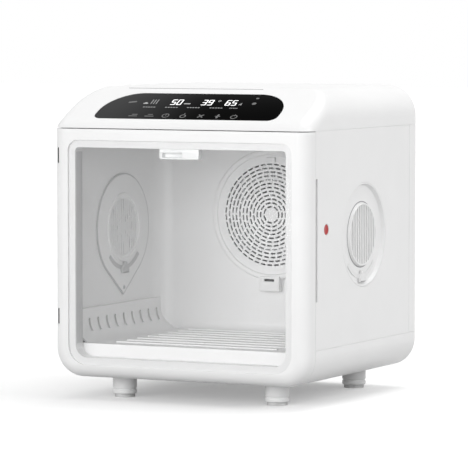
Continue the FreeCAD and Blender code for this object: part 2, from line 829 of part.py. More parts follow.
def make_door(outer):
    """Door frame with its pane, gasket, magnets and inner catch."""
    slab = common("door_blank", outer, box(
        "door_space", WIDE, ("-body_depth", "door_back_y"), ("0", "seam_z - door_top_gap")))
    # The hinge edge is rounded behind the pin, so that it turns clear of the frame
    turn_radius = "(door_back_y - hinge_y)"
    tall = ("0", "top_z")
    heel = cut(
        "door_heel",
        box("heel_block", ("-body_width", "hinge_x"), ("hinge_y", "body_depth"), tall),
        cylinder("heel_round", "z", turn_radius, tall, ("hinge_x", "hinge_y")))
    window = upright_slab(
        "window_opening", ("-window_half", "window_half"), ("window_low_z", "window_high_z"),
        "window_bottom_radius", "window_top_radius", ("-body_depth", "body_depth"))
    rebate = pane("pane_rebate", "pane_gap", ("-body_depth", "pane_back_y"))
    tools = [heel, window, rebate]
    for level, height in HINGES:
        low = f"{height} - hinge_height / 2 - barrel_gap"
        high = f"{height} + hinge_height / 2 + barrel_gap"
        tools.append(box(
            f"{level}_notch", ("-body_width", "hinge_x + barrel_radius + barrel_gap"),
            ("hinge_y - arm_sweep", "body_depth"), (low, high)))
        tools.append(box(
            f"{level}_sight", ("hinge_x", "hinge_x + hinge_slot_width"),
            ("-body_depth", "hinge_y"), (low, high)))
        tools.append(cylinder(
            f"{level}_pin_hole", "z", "pin_radius + running_gap",
            (f"{low} - pin_reach", f"{high} + pin_reach"), ("hinge_x", "hinge_y")))
    tools.append(gasket_ring("gasket_groove"))
    tools.extend(magnet_blocks("magnet_pocket", ("door_back_y - magnet_depth", "body_depth")))
    sub_part("door_frame", cut("door_frame", slab, *tools))
    sub_part("door_window", pane("door_window", "0", ("pane_front_y", "pane_back_y")))
    sub_part("door_gasket", gasket_ring("door_gasket"))
    sub_part("door_magnets", group("door_magnets", *magnet_blocks(
        "door_magnet", ("door_back_y - magnet_depth", "door_back_y"))))
    make_door_catch()


def pane(name, gap, span):
    """Window pane, grown by a gap on every side."""
    grow = f"(pane_border + {gap})"
    return upright_slab(
        name, (f"-window_half - {grow}", f"window_half + {grow}"),
        (f"window_low_z - {grow}", f"window_high_z + {grow}"),
        f"window_bottom_radius + {grow}", f"window_top_radius + {grow}", span)


def gasket_ring(name):
    """Seal in the back of the door, around the chamber's mouth."""
    def loop(suffix, grow):
        return upright_slab(
            name + suffix, (f"-chamber_half + gasket_lap - {grow}", f"chamber_half - gasket_lap + {grow}"),
            (f"window_low_z - gasket_lap - {grow}", f"ceiling_z + {grow}"),
            f"gasket_radius + {grow}", f"gasket_radius + {grow}",
            ("door_back_y - gasket_depth", "door_back_y"))
    return cut(name, loop("_outside", "gasket_width"), loop("_inside", "0"))


def make_door_catch():
    """Moulded catch that hangs inside the top of the window, with an open finger rest."""
    half = "catch_width / 2"
    span = ("pane_back_y", "pane_back_y + catch_depth")
    block = box("catch_block", (f"-{half}", half), span, ("window_high_z - catch_drop", "window_high_z"))
    rest = box(
        "catch_rest", (f"-{half} + 2 * catch_wall", f"-{half} + 2 * catch_wall + catch_rest_width"),
        ("-body_depth", "pane_back_y + catch_depth - catch_wall"),
        ("window_high_z - catch_drop + catch_wall", "window_high_z - catch_lap"))
    sub_part("door_catch", cut("door_catch", block, rest))


# Chamber

def make_chamber():
    """Walls, ceiling, deck, floor tray and air ducts of the drying chamber."""
    mouth_to_back = ("frame_back_y", "back_wall_y")
    sub_part("floor_deck", box(
        "floor_deck", ("-liner_outer_x", "liner_outer_x"), ("frame_back_y", "rear_split_y"),
        ("deck_top_z - deck_thickness", "deck_top_z")))
    sub_part("chamber_ceiling", cut(
        "chamber_ceiling",
        box("ceiling_plate", ("-liner_outer_x", "liner_outer_x"), ("frame_back_y", "plenum_y"),
            ("ceiling_z", "ceiling_top_z")),
        cylinder("sensor_hole", "z", "sensor_radius", ("ceiling_z", "ceiling_top_z"), ("0", "sensor_shift"))))
    bore = cylinder("grille_hole", "y", "grille_bore", ("front_y", "rear_y"), ("0", "fan_z"))
    sub_part("rear_wall", cut(
        "rear_wall",
        box("rear_wall_plate", ("-liner_outer_x", "liner_outer_x"), ("back_wall_y", "plenum_y"),
            ("deck_top_z", "ceiling_z")),
        bore))

    wall = box("liner_plate", ("chamber_half", "liner_outer_x"), mouth_to_back, ("deck_top_z", "ceiling_z"))
    pivot = cylinder(
        "vent_pivot", "x", "pivot_radius", ("chamber_half", "shutter_face_x"), ("vent_y", "vent_z"))
    openings = sectors("liner_sector", ("0", "body_width"))
    slot = lever_slot("liner_lever_slot", ("chamber_half", "liner_outer_x"))
    shank = cover_screw_bar("liner_screw_hole", "screw_shank", ("chamber_half", "liner_outer_x"))
    both_sides("liner", fuse("right_liner", cut("liner_pierced", wall, slot, shank, *openings), pivot))
    make_floor_tray()
    make_air_ducts()


def make_floor_tray():
    """Lift-out tray with ridges from side to side."""
    low_y, high_y = "frame_back_y + tray_gap", "back_wall_y - tray_gap"
    plate = box("tray_plate", ("-tray_half", "tray_half"), (low_y, high_y), ("deck_top_z", "tray_top_z"))
    pitch = f"(({high_y}) - ({low_y}) - 2 * ridge_margin) / (ridge_count - 1)"
    ridges = [
        cylinder(
            f"tray_ridge_{index}", "x", "ridge_radius",
            ("-tray_half + ridge_margin", "tray_half - ridge_margin"),
            (f"{low_y} + ridge_margin + {index} * {pitch}", "tray_top_z"))
        for index in range(SIZES["ridge_count"])
    ]
    sub_part("floor_tray", fuse("floor_tray", plate, *ridges))


def make_air_ducts():
    """Coved duct covers along the foot of both side walls, with a row of air slots."""
    body = new_body("duct_form")
    sketch = new_sketch(body, "duct_profile", "XZ_Plane")
    ledge = "(chamber_half - duct_ledge)"
    top = "(deck_top_z + duct_rise)"
    toe = f"({ledge} - cove_radius)"
    points = {
        "wall_top": ("chamber_half", top),
        "ledge_top": (ledge, top),
        "cove_start": (ledge, "cove_z"),
        "cove_end": (toe, "cove_z - cove_radius"),
        "toe": (toe, "cove_z - cove_radius - duct_wall"),
        "back_start": (f"{ledge} + duct_wall", "cove_z"),
        "back_top": (f"{ledge} + duct_wall", f"{top} - duct_wall"),
        "wall_low": ("chamber_half", f"{top} - duct_wall"),
    }
    places = {key: FreeCAD.Vector(number(u), number(v)) for key, (u, v) in points.items()}
    centre = FreeCAD.Vector(number(toe), number("cove_z"))
    names = list(points)
    arcs = {"cove_start": number("cove_radius"), "toe": number("cove_radius + duct_wall")}
    for index, key in enumerate(names):
        following = names[(index + 1) % len(names)]
        if key in arcs:
            circle = Part.Circle(centre, Z_AXIS, arcs[key])
            sketch.addGeometry(Part.ArcOfCircle(circle, -math.pi / 2, 0.0))
        else:
            sketch.addGeometry(Part.LineSegment(places[key], places[following]))
    # An arc runs from its lower end to its side, so the cove's arc is drawn backwards
    ends = [(END, START) if key == "cove_start" else (START, END) for key in names]
    for index in range(len(names)):
        following = (index + 1) % len(names)
        sketch.addConstraint(Sketcher.Constraint(
            "Coincident", index, ends[index][1], following, ends[following][0]))
    for index, key in enumerate(names):
        hold(sketch, "DistanceX", ORIGIN, START, index, ends[index][0], formula=points[key][0])
        hold(sketch, "DistanceY", ORIGIN, START, index, ends[index][0], formula=points[key][1])
    hold(sketch, "Radius", names.index("cove_start"), formula="cove_radius")
    hold(sketch, "Radius", names.index("toe"), formula="cove_radius + duct_wall")
    add_pad(body, "duct_pad", sketch, "back_wall_y - frame_back_y")
    bind(body, Placement__Base__y="back_wall_y")
    middle = "((back_wall_y + frame_back_y) / 2 + duct_slot_shift)"
    slots = []
    for index in range(SIZES["duct_slot_count"]):
        place = f"({middle} + ({index} - (duct_slot_count - 1) / 2) * duct_slot_pitch)"
        slots.append(box(
            f"duct_slot_{index}", (toe, "chamber_half"),
            (f"{place} - duct_slot_width / 2", f"{place} + duct_slot_width / 2"),
            ("deck_top_z + duct_slot_low", "deck_top_z + duct_slot_high")))
    both_sides("air_duct", cut("right_air_duct", body, *slots))


# Side vents

def sectors(name, span):
    """Evenly spaced sector windows around the vent's middle."""
    step = FULL_TURN / SIZES["sector_count"]
    return [
        ring(
            f"{name}_{index}", "x", "sector_outer", "sector_inner", span, ("vent_y", "vent_z"),
            index * step - number("sector_angle") / 2, "sector_angle")
        for index in range(SIZES["sector_count"])
    ]


def lever_arc(name, span, lap, half_angle):
    """Arc band, centred below the vent's middle, around the path of the lever's stem."""
    half_band = f"(slot_half + {lap})"
    return ring(
        name, "x", f"lever_reach + {half_band}", f"lever_reach - {half_band}", span, ("vent_y", "vent_z"),
        -number(half_angle), f"2 * {half_angle}")


def lever_slot(name, span):
    """Arc slot that the lever's stem travels in."""
    return lever_arc(name, span, "0", "(slot_half_angle)")


def cover_screw_bar(name, radius, span):
    """Round bar at the place of the inner cover's screw."""
    return cylinder(name, "x", radius, span, ("vent_y", "vent_z - cover_screw_drop"))


def slats(name, span):
    """Upright slots inside the drum's rim."""
    bars = []
    for index in range(SIZES["slat_count"]):
        place = f"(vent_y + ({index} - (slat_count - 1) / 2) * slat_pitch)"
        bars.append(box(
            f"{name}_{index}", span, (f"{place} - slat_slot / 2", f"{place} + slat_slot / 2"),
            ("vent_z - drum_radius", "vent_z + drum_radius")))
    rim = cylinder(name + "_rim", "x", "drum_radius - drum_rim", span, ("vent_y", "vent_z"))
    return common(name, group(name + "_bars", *bars), rim)


def knob(name, face, shield_span):
    """Bottle-shaped grip, thin end towards the vent's middle, with a band that keeps the slot covered."""
    body = new_body(name + "_grip")
    sketch = new_sketch(body, name + "_outline", "YZ_Plane")
    half_neck, half_wide = "knob_neck_width / 2", "knob_width / 2"
    right = [
        (half_neck, "-knob_top"), (half_neck, "-knob_waist"),
        (half_wide, "-knob_shoulder"), (half_wide, "-knob_bottom"),
    ]
    left = [(f"-{width}", height) for width, height in reversed(right)]
    add_polygon(sketch, right + left)
    add_pad(body, name + "_pad", sketch, "knob_thickness")
    bind(body, Placement__Base__x=face, Placement__Base__y="vent_y", Placement__Base__z="vent_z")
    shield = lever_arc(name + "_shield", shield_span, "shield_lap", "(lever_angle + slot_half_angle)")
    bore = cylinder(
        name + "_stem_hole", "x", "stem_radius", shield_span, ("vent_y", "vent_z - lever_reach"))
    return cut(name, fuse(name + "_blank", body, shield), bore)


def make_vents():
    """Dished bezel, turning shutter with its two knobs, inner cover and screw, on both sides."""
    middle = {"Placement__Base__y": "vent_y", "Placement__Base__z": "vent_z"}
    bezel = turned("vent_bezel_blank", [
        ("half_width", "vent_radius"),
        ("half_width", "vent_radius - vent_lip"),
        ("vent_floor_x", "vent_floor_radius"),
        ("vent_floor_x", "drum_radius"),
        ("drum_face_x", "drum_radius - drum_draft"),
        ("drum_face_x", "0"),
        ("drum_face_x - vent_skin", "0"),
        ("drum_face_x - vent_skin", "drum_radius - drum_draft - vent_skin"),
        ("vent_back_x", "drum_radius - drum_draft - vent_skin"),
        ("vent_back_x", "vent_radius + vent_flange"),
        ("panel_inner_x", "vent_radius + vent_flange"),
        ("panel_inner_x", "vent_radius"),
    ], **middle)
    both_sides("vent_bezel", cut(
        "right_vent_bezel", bezel, slats("bezel_slats", ("chamber_half", "half_width")),
        lever_slot("bezel_lever_slot", ("chamber_half", "half_width"))))

    across = ("vent_y", "vent_z")
    stem_across = ("vent_y", "vent_z - lever_reach")
    disc = cut(
        "shutter_pierced",
        cylinder("shutter_disc", "x", "shutter_radius", ("shutter_x", "shutter_face_x"), across),
        cylinder("shutter_bore", "x", "pivot_radius + running_gap", ("shutter_x", "shutter_face_x"), across),
        *sectors("shutter_sector", ("chamber_half", "half_width")))
    stem = cylinder(
        "lever_stem", "x", "stem_radius", ("inner_knob_x + knob_thickness", "outer_knob_x"), stem_across)
    both_sides("vent_shutter", fuse("right_vent_shutter", disc, stem))
    both_sides("vent_knob", knob(
        "right_vent_knob", "outer_knob_x", ("outer_knob_x - shield_thickness", "outer_knob_x")))
    both_sides("vent_inner_knob", knob(
        "right_vent_inner_knob", "inner_knob_x",
        ("inner_knob_x + knob_thickness", "inner_knob_x + knob_thickness + shield_thickness")))
    make_inner_cover(middle)


def make_inner_cover(middle):
    """Drop-shaped cover inside the chamber, held by one screw at its tip."""
    plate_span = ("cover_face_x", "chamber_half")
    across = ("vent_y", "vent_z")
    round_plate = cylinder("cover_disc", "x", "cover_radius", plate_span, across)
    tip_body = new_body("cover_tip_form")
    tip_sketch = new_sketch(tip_body, "cover_tip_outline", "YZ_Plane")
    tangent_side = "(cover_radius * sqrt(1 - (cover_radius / cover_tip) * (cover_radius / cover_tip)))"
    tangent_drop = "(-cover_radius * cover_radius / cover_tip)"
    add_polygon(tip_sketch, [
        (f"-{tangent_side}", tangent_drop), ("0", "-cover_tip"), (tangent_side, tangent_drop)])
    add_pad(tip_body, "cover_tip_pad", tip_sketch, "cover_thickness")
    bind(tip_body, Placement__Base__x="cover_face_x", **middle)
    rim = ring(
        "cover_rim", "x", "drum_radius + cover_ring", "drum_radius",
        ("cover_face_x - cover_ring_rise", "cover_face_x"), across)
    both_sides("vent_cover", cut(
        "right_vent_cover", fuse("cover_blank", round_plate, tip_body, rim),
        slats("cover_slats", ("0", "half_width")),
        lever_slot("cover_lever_slot", ("0", "half_width")),
        cover_screw_bar("cover_screw_hole", "screw_shank", plate_span)))
    both_sides("vent_screw", fuse(
        "right_vent_screw",
        cover_screw_bar("vent_screw_head", "screw_radius", ("cover_face_x - screw_head", "cover_face_x")),
        cover_screw_bar("vent_screw_shank", "screw_shank", ("cover_face_x", "liner_outer_x"))))


def make_release_button():
    """Round push button beside the finger slit, with the switch behind it."""
    across = ("button_y", "button_z")
    sub_part("release_button", fuse(
        "release_button",
        cylinder("button_cap", "x", "button_radius", ("button_back_x", "button_face_x"), across),
        cylinder("button_rim", "x", "button_radius + button_flange",
                 ("button_back_x", "button_back_x + button_flange_thickness"), across)))
    sub_part("button_switch", box(
        "button_switch", ("liner_outer_x", "button_back_x - button_travel - button_gap"),
        ("button_y - switch_size / 2", "button_y + switch_size / 2"),
        ("button_z - switch_size / 2", "button_z + switch_size / 2")))


# Fan grille, blower and heater

def slot_wire(radius, middle):
    """Outline of one arc slot of the grille, in the grille's own plane."""
    half_width = number("ring_slot_width / 2")
    half_angle = number("ring_slot_pitch * ring_slot_share / 2") / radius

    def spot(distance, angle):
        return FreeCAD.Vector(distance * math.cos(angle), 0.0, distance * math.sin(angle))
    inside, outside = radius - half_width, radius + half_width
    start, stop = middle - half_angle, middle + half_angle
    return Part.Wire([
        Part.Arc(spot(inside, start), spot(inside, middle), spot(inside, stop)).toShape(),
        Part.LineSegment(spot(inside, stop), spot(outside, stop)).toShape(),
        Part.Arc(spot(outside, stop), spot(outside, middle), spot(outside, start)).toShape(),
        Part.LineSegment(spot(outside, start), spot(inside, start)).toShape(),
    ])


def make_fan_grille():
    """Round grille of short slots in rings, with its rim, lower clip and upper tab."""
    edge = Part.Circle(FreeCAD.Vector(), Y_AXIS, number("grille_radius - grille_rim"))
    holes = []
    for index in range(SIZES["ring_count"]):
        radius = number(f"first_ring + {index} * ring_pitch")
        count = round(2 * math.pi * radius / number("ring_slot_pitch"))
        holes.extend(slot_wire(radius, 2 * math.pi * step / count) for step in range(count))
    face = Part.makeFace([Part.Wire(edge.toShape()), *holes], "Part::FaceMakerBullseye")
    plate = doc.addObject("Part::Feature", "grille_plate")
    plate.Shape = face.extrude(FreeCAD.Vector(0, number("grille_plate"), 0))
    bind(plate, Placement__Base__y="grille_face_y", Placement__Base__z="fan_z")
    rim = ring(
        "grille_rim", "y", "grille_radius", "grille_radius - grille_rim",
        ("back_wall_y - grille_rim_rise", "back_wall_y"), ("0", "fan_z"))
    sub_part("fan_grille", plate)
    sub_part("grille_rim", rim)

    clip_top = "(fan_z - clip_drop)"
    clip = box(
        "clip_block", ("-clip_width / 2", "clip_width / 2"), ("back_wall_y - clip_depth", "back_wall_y"),
        (f"{clip_top} - clip_height", clip_top))
    slot = box(
        "clip_slot", ("-clip_slot_width / 2", "clip_slot_width / 2"), ("front_y", "back_wall_y"),
        (f"{clip_top} - 2 * clip_slot_height", f"{clip_top} - clip_slot_height"))
    rim_space = cylinder(
        "clip_notch", "y", "grille_radius + clip_gap",
        ("back_wall_y - grille_rim_rise - clip_gap", "rear_y"), ("0", "fan_z"))
    tab_low = "(fan_z + ring_edge + ring_slot_width / 2 + tab_margin)"
    tab = box(
        "grille_tab", ("-tab_width / 2", "tab_width / 2"), ("grille_face_y - tab_depth", "grille_face_y"),
        (tab_low, f"{tab_low} + tab_height"))
    sub_part("grille_clips", group("grille_clips", cut("grille_clip", clip, slot, rim_space), tab))


def make_blower():
    """Housing, motor on its bracket, and the impeller with its shaft."""
    across = ("0", "fan_z")
    sub_part("blower_housing", ring(
        "blower_housing", "y", "blower_radius", "blower_bore",
        ("plenum_y", "blower_back_y"), across))
    bracket_span = ("blower_back_y", "motor_front_y")
    upright = box(
        "bracket_upright", ("-bracket_width / 2", "bracket_width / 2"), bracket_span,
        ("fan_z - blower_radius", "fan_z + blower_radius"))
    level = box(
        "bracket_level", ("-blower_radius", "blower_radius"), bracket_span,
        ("fan_z - bracket_width / 2", "fan_z + bracket_width / 2"))
    seat = cylinder("bracket_seat", "y", "motor_radius", bracket_span, across)
    sub_part("motor_bracket", cut(
        "motor_bracket", fuse("bracket_blank", upright, level, seat),
        cylinder("bracket_bore", "y", "bracket_bore", bracket_span, across)))
    sub_part("motor", cut(
        "motor", cylinder("motor_can", "y", "motor_radius", ("motor_front_y", "motor_back_y"), across),
        cylinder("motor_bore", "y", "shaft_radius + running_gap",
                 ("motor_front_y", "motor_back_y - shaft_radius + running_gap"), across)))
    sub_part("motor_shaft", cylinder(
        "motor_shaft", "y", "shaft_radius", ("impeller_y", "motor_back_y - shaft_radius"), across))

    hub = cylinder("impeller_hub", "y", "hub_radius", ("impeller_y", "impeller_back_y"), across)
    blades = [impeller_blade(index) for index in range(SIZES["blade_count"])]
    bore = cylinder("hub_bore", "y", "shaft_radius", ("impeller_y", "impeller_back_y"), across)
    sub_part("impeller", cut("impeller", fuse("impeller_blank", hub, *blades), bore))


def impeller_blade(index):
    """Flat blade, pitched about its own length and turned to its place around the hub."""
    blade = doc.addObject("Part::Box", f"blade_{index}")
    root = "(hub_radius - blade_root)"
    bind(blade, Length="blade_width", Width="blade_thickness", Height=f"impeller_radius - {root}")
    place = FreeCAD.Placement()
    place.Base = FreeCAD.Vector(0, number("impeller_y + impeller_depth / 2"), number("fan_z"))
    around = FreeCAD.Rotation(Y_AXIS, FULL_TURN / SIZES["blade_count"] * index)
    pitch = FreeCAD.Rotation(Z_AXIS, SIZES["blade_pitch_angle"])
    start = FreeCAD.Vector(-number("blade_width / 2"), -number("blade_thickness / 2"), number(root))
    place.Rotation = around.multiply(pitch)
    blade.Placement = place.multiply(FreeCAD.Placement(start, FreeCAD.Rotation()))
    return blade


def make_heater():
    """Finned heater core in its frame, between the impeller and the grille."""
    half = "heater_size / 2"
    span = ("plenum_y + heater_offset", "plenum_y + heater_offset + heater_depth")
    outside = box("heater_outside", (f"-{half}", half), span, (f"fan_z - {half}", f"fan_z + {half}"))
    clear = f"({half} - heater_frame)"
    inside = box("heater_inside", (f"-{clear}", clear), span, (f"fan_z - {clear}", f"fan_z + {clear}"))
    pitch = f"(2 * {clear} / (heater_fin_count + 1))"
    fins = []
    for index in range(SIZES["heater_fin_count"]):
        middle = f"(-{clear} + {index + 1} * {pitch})"
        fins.append(box(
            f"heater_fin_{index}", (f"{middle} - heater_fin / 2", f"{middle} + heater_fin / 2"),
            span, (f"fan_z - {clear}", f"fan_z + {clear}")))
    # Arms reach from the frame to the housing's round wall
    bar = box(
        "heater_bar", ("-blower_radius", "blower_radius"), span,
        ("fan_z - heater_arm / 2", "fan_z + heater_arm / 2"))
    reach = cylinder("heater_reach", "y", "blower_bore", span, ("0", "fan_z"))
    frame = fuse("heater_frame_blank", outside, common("heater_arms", bar, reach))
    sub_part("heater_core", fuse("heater_core", cut("heater_frame_ring", frame, inside), *fins))


def make_rear_fittings():
    """Air filter with its slotted cover, mains inlet and the rear cover's screws."""
    half = "intake_size / 2"
    plate = upright_slab(
        "filter_plate", (f"-{half} + panel_gap", f"{half} - panel_gap"),
        (f"fan_z - {half} + panel_gap", f"fan_z + {half} - panel_gap"),
        "intake_radius", "intake_radius", ("shell_back_y", "rear_y"))
    slots = []
    for index in range(SIZES["intake_slot_count"]):
        level = f"(fan_z + ({index} - (intake_slot_count - 1) / 2) * intake_slot_pitch)"
        slots.append(box(
            f"intake_slot_{index}", (f"-{half} + 2 * intake_rim", f"{half} - 2 * intake_rim"),
            ("front_y", "body_depth"), (f"{level} - intake_slot / 2", f"{level} + intake_slot / 2")))
    sub_part("filter_cover", cut("filter_cover", plate, *slots))
    reach = f"({half} + intake_rim)"
    sub_part("intake_filter", box(
        "intake_filter", (f"-{reach}", reach), ("filter_front_y", "shell_back_y"),
        (f"fan_z - {reach}", f"fan_z + {reach}")))

    well = box(
        "inlet_well",
        ("inlet_side - inlet_width / 2 + inlet_wall", "inlet_side + inlet_width / 2 - inlet_wall"),
        ("rear_y - inlet_depth + inlet_wall", "body_depth"),
        ("inlet_z - inlet_height / 2 + inlet_wall", "inlet_z + inlet_height / 2 - inlet_wall"))
    prongs = []
    for place, offset in (("left", -1), ("middle", 0), ("right", 1)):
        centre = f"(inlet_side + {offset} * prong_spread)"
        prongs.append(box(
            f"{place}_prong", (f"{centre} - prong_width / 2", f"{centre} + prong_width / 2"),
            ("rear_y - inlet_depth + inlet_wall", "rear_y - inlet_depth + inlet_wall + prong_length"),
            ("inlet_z - prong_height / 2", "inlet_z + prong_height / 2")))
    sub_part("mains_inlet", cut("mains_inlet", inlet_block("inlet_body"), well))
    sub_part("inlet_prongs", group("inlet_prongs", *prongs))
    shanks = back_screws("back_screw_shank", "screw_shank", ("rear_y - screw_length", "rear_y - screw_head"))
    heads = back_screws("back_screw_head", "screw_radius", ("rear_y - screw_head", "rear_y"))
    sub_part("rear_cover_screws", group("rear_cover_screws", *[
        fuse(f"rear_screw_{index}", shank, head) for index, (shank, head) in enumerate(zip(shanks, heads))]))


def inlet_block(name):
    """Outside of the mains inlet, which also cuts its hole."""
    return box(
        name, ("inlet_side - inlet_width / 2", "inlet_side + inlet_width / 2"),
        ("rear_y - inlet_depth", "rear_y"),
        ("inlet_z - inlet_height / 2", "inlet_z + inlet_height / 2"))


# Control panel and boards

def lay_on_slope(item, along, away):
    """Place an object on the hood's slope: along it from its foot, and away from it."""
    item.Placement = FreeCAD.Placement(
        FreeCAD.Vector(), FreeCAD.Rotation(X_AXIS, math.degrees(math.atan(number("slope_tangent")))))
    return bind(
        item,
        Placement__Base__y=f"front_y + (({along}) - ({away}) * slope_tangent) / slope_secant",
        Placement__Base__z=f"slope_foot_z + (({along}) * slope_tangent + ({away})) / slope_secant",
    )


def panel_plate(name, gap, span):
    """Plate of the control panel's outline, grown by a gap."""
    body = new_body(name)
    sketch = new_sketch(body, name + "_outline", "XY_Plane")
    add_rounded_outline(
        sketch, (f"-panel_half - {gap}", f"panel_half + {gap}"), (f"-{gap}", f"panel_length + {gap}"),
        f"panel_bottom_radius + {gap}", f"panel_top_radius + {gap}")
    add_pad(body, name + "_pad", sketch, f"({span[1]}) - ({span[0]})")
    return lay_on_slope(body, "panel_start", span[0])


def board_plate(name, gap, span):
    """Plate of the display board's outline behind the control panel, grown by a gap."""
    board = doc.addObject("Part::Box", name)
    bind(board, Length=f"board_width + 2 * {gap}", Width=f"board_length + 2 * {gap}",
         Height=f"({span[1]}) - ({span[0]})")
    lay_on_slope(board, f"panel_start + (panel_length - board_length) / 2 - {gap}", span[0])
    return bind(board, Placement__Base__x=f"-board_width / 2 - {gap}")


def make_controls():
    """Glass control panel, its display board, the power board and the chamber's sensor."""
    sub_part("control_panel", panel_plate("control_panel", "0", ("-panel_thickness", "0")))
    sub_part("display_board", board_plate(
        "display_board", "0", ("-panel_thickness - board_thickness", "-panel_thickness")))

    low = "(ceiling_top_z + power_board_rise)"
    plate = box(
        "power_plate", ("-power_board_width / 2", "power_board_width / 2"),
        ("power_board_shift - power_board_length / 2", "power_board_shift + power_board_length / 2"),
        (low, f"{low} + board_thickness"))
    feet = [
        cylinder(f"board_foot_{index}", "z", "sensor_radius", ("ceiling_top_z", low), (
            f"{side} * (power_board_width / 2 - 2 * sensor_radius)",
            f"power_board_shift + {end} * (power_board_length / 2 - 2 * sensor_radius)"))
        for index, (side, end) in enumerate(((-1, -1), (-1, 1), (1, -1), (1, 1)))
    ]
    coil = box(
        "power_coil", ("-coil_size / 2", "coil_size / 2"),
        ("power_board_shift - coil_size / 2", "power_board_shift + coil_size / 2"),
        (f"{low} + board_thickness", f"{low} + board_thickness + coil_height"))
    sub_part("power_board", fuse("power_board", plate, coil, *feet))
    sub_part("temperature_sensor", cylinder(
        "temperature_sensor", "z", "sensor_radius", ("ceiling_z - sensor_drop", "ceiling_top_z"),
        ("0", "sensor_shift")))


# Feet

def make_feet():
    """Four turned feet with rubber pads."""
    pads = []
    for side, sign in (("left", "-"), ("right", "")):
        for end, reach in (("front", "front_foot_y"), ("rear", "rear_foot_y")):
            place = {"Placement__Base__x": f"{sign}foot_x", "Placement__Base__y": reach}
            sub_part(f"{end}_{side}_foot", turned(f"{end}_{side}_foot", [
                ("0", "pad_thickness"),
                ("foot_radius - foot_groove", "pad_thickness"),
                ("foot_radius", "pad_thickness + foot_groove"),
                ("foot_radius", "foot_groove_rise"),
                ("foot_radius - foot_groove", "foot_groove_rise + foot_groove"),
                ("foot_radius", "foot_groove_rise + 2 * foot_groove"),
                ("foot_radius", "foot_height"),
                ("0", "foot_height"),
            ], "V_Axis", **place))
            pads.append(cylinder(
                f"{end}_{side}_pad", "z", "foot_radius - foot_groove - pad_inset", ("0", "pad_thickness"),
                (f"{sign}foot_x", reach)))
    sub_part("foot_pads", group("foot_pads", *pads))


def check_and_write():
    """Stop on any failed object, then write each sub-part to its own file."""
    doc.recompute()
    for item in doc.Objects:
        if {"Invalid", "Error"} & set(item.State):
            raise RuntimeError(f"{item.Name} failed: {item.State}")
    os.makedirs("parts", exist_ok=True)
    for label, item in sub_parts.items():
        shape = item.Shape
        if shape.isNull() or not shape.isValid() or not shape.Solids:
            raise RuntimeError(f"{label} has no valid solid")
        shape.exportStep(f"parts/{label}.step")
        print(f"{label}: {len(shape.Solids)} solid(s), {shape.Volume / 1000:.1f} cm3")


def main():
    """Build every sub-part from the sheet and write the files."""
    fill_sheet()
    outer, inner = make_casing()
    make_front_frame(inner)
    make_hinges()
    make_door(outer)
    make_chamber()
    make_vents()
    make_release_button()
    make_fan_grille()
    make_blower()
    make_heater()
    make_rear_fittings()
    make_controls()
    make_feet()
    check_and_write()


main()
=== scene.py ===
"""Looks of a free-standing warm-air drying cabinet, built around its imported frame.

Lengths are in metres in the frame's own axes: the door faces -Y, +Z is up and
the origin is on the floor under the middle of the cabinet.
"""
import functools
import json
import logging
import math
from contextlib import contextmanager
from dataclasses import dataclass
from enum import Enum
from typing import Callable, Iterator, Sequence

import bmesh
import bpy
from mathutils import Euler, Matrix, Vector


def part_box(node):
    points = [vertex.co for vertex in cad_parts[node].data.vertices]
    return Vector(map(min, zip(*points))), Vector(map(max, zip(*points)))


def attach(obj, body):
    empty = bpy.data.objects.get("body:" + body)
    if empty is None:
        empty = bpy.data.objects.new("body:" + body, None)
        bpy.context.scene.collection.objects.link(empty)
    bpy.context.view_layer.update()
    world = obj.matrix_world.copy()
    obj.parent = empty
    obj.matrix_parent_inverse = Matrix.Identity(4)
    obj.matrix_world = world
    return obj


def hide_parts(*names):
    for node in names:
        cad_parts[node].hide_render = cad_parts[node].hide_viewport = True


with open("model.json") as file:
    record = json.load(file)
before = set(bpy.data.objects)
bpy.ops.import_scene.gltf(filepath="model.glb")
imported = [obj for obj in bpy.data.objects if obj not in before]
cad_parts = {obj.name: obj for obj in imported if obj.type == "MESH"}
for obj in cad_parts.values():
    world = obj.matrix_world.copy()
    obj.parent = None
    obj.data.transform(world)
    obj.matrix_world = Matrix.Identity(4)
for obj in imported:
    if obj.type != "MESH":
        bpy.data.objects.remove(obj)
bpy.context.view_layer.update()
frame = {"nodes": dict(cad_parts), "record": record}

log = logging.getLogger("drying_cabinet")
Colour = tuple[float, float, float]
Point = tuple[float, float, float]
Where = Callable[[Vector], bool]
WHITE = (1.0, 1.0, 1.0, 1.0)
NEAR = 1e-4
WELD_GAP = 1e-6
SMOOTH_ANGLE = 35.0
TURNED_ANGLE = 25.0


class Body(Enum):
    """Bodies of the frame that new pieces ride on."""

    CABINET = "cabinet"
    DOOR = "door"
    LEFT_SHUTTER = "left_shutter"
    RIGHT_SHUTTER = "right_shutter"
    BUTTON = "button"


class Side(Enum):
    """The cabinet's two sides, with the sign of their X."""

    LEFT = -1
    RIGHT = 1

    @property
    def word(self) -> str:
        """Lower-case name, as in the frame's node names."""
        return self.name.lower()


# Finishes

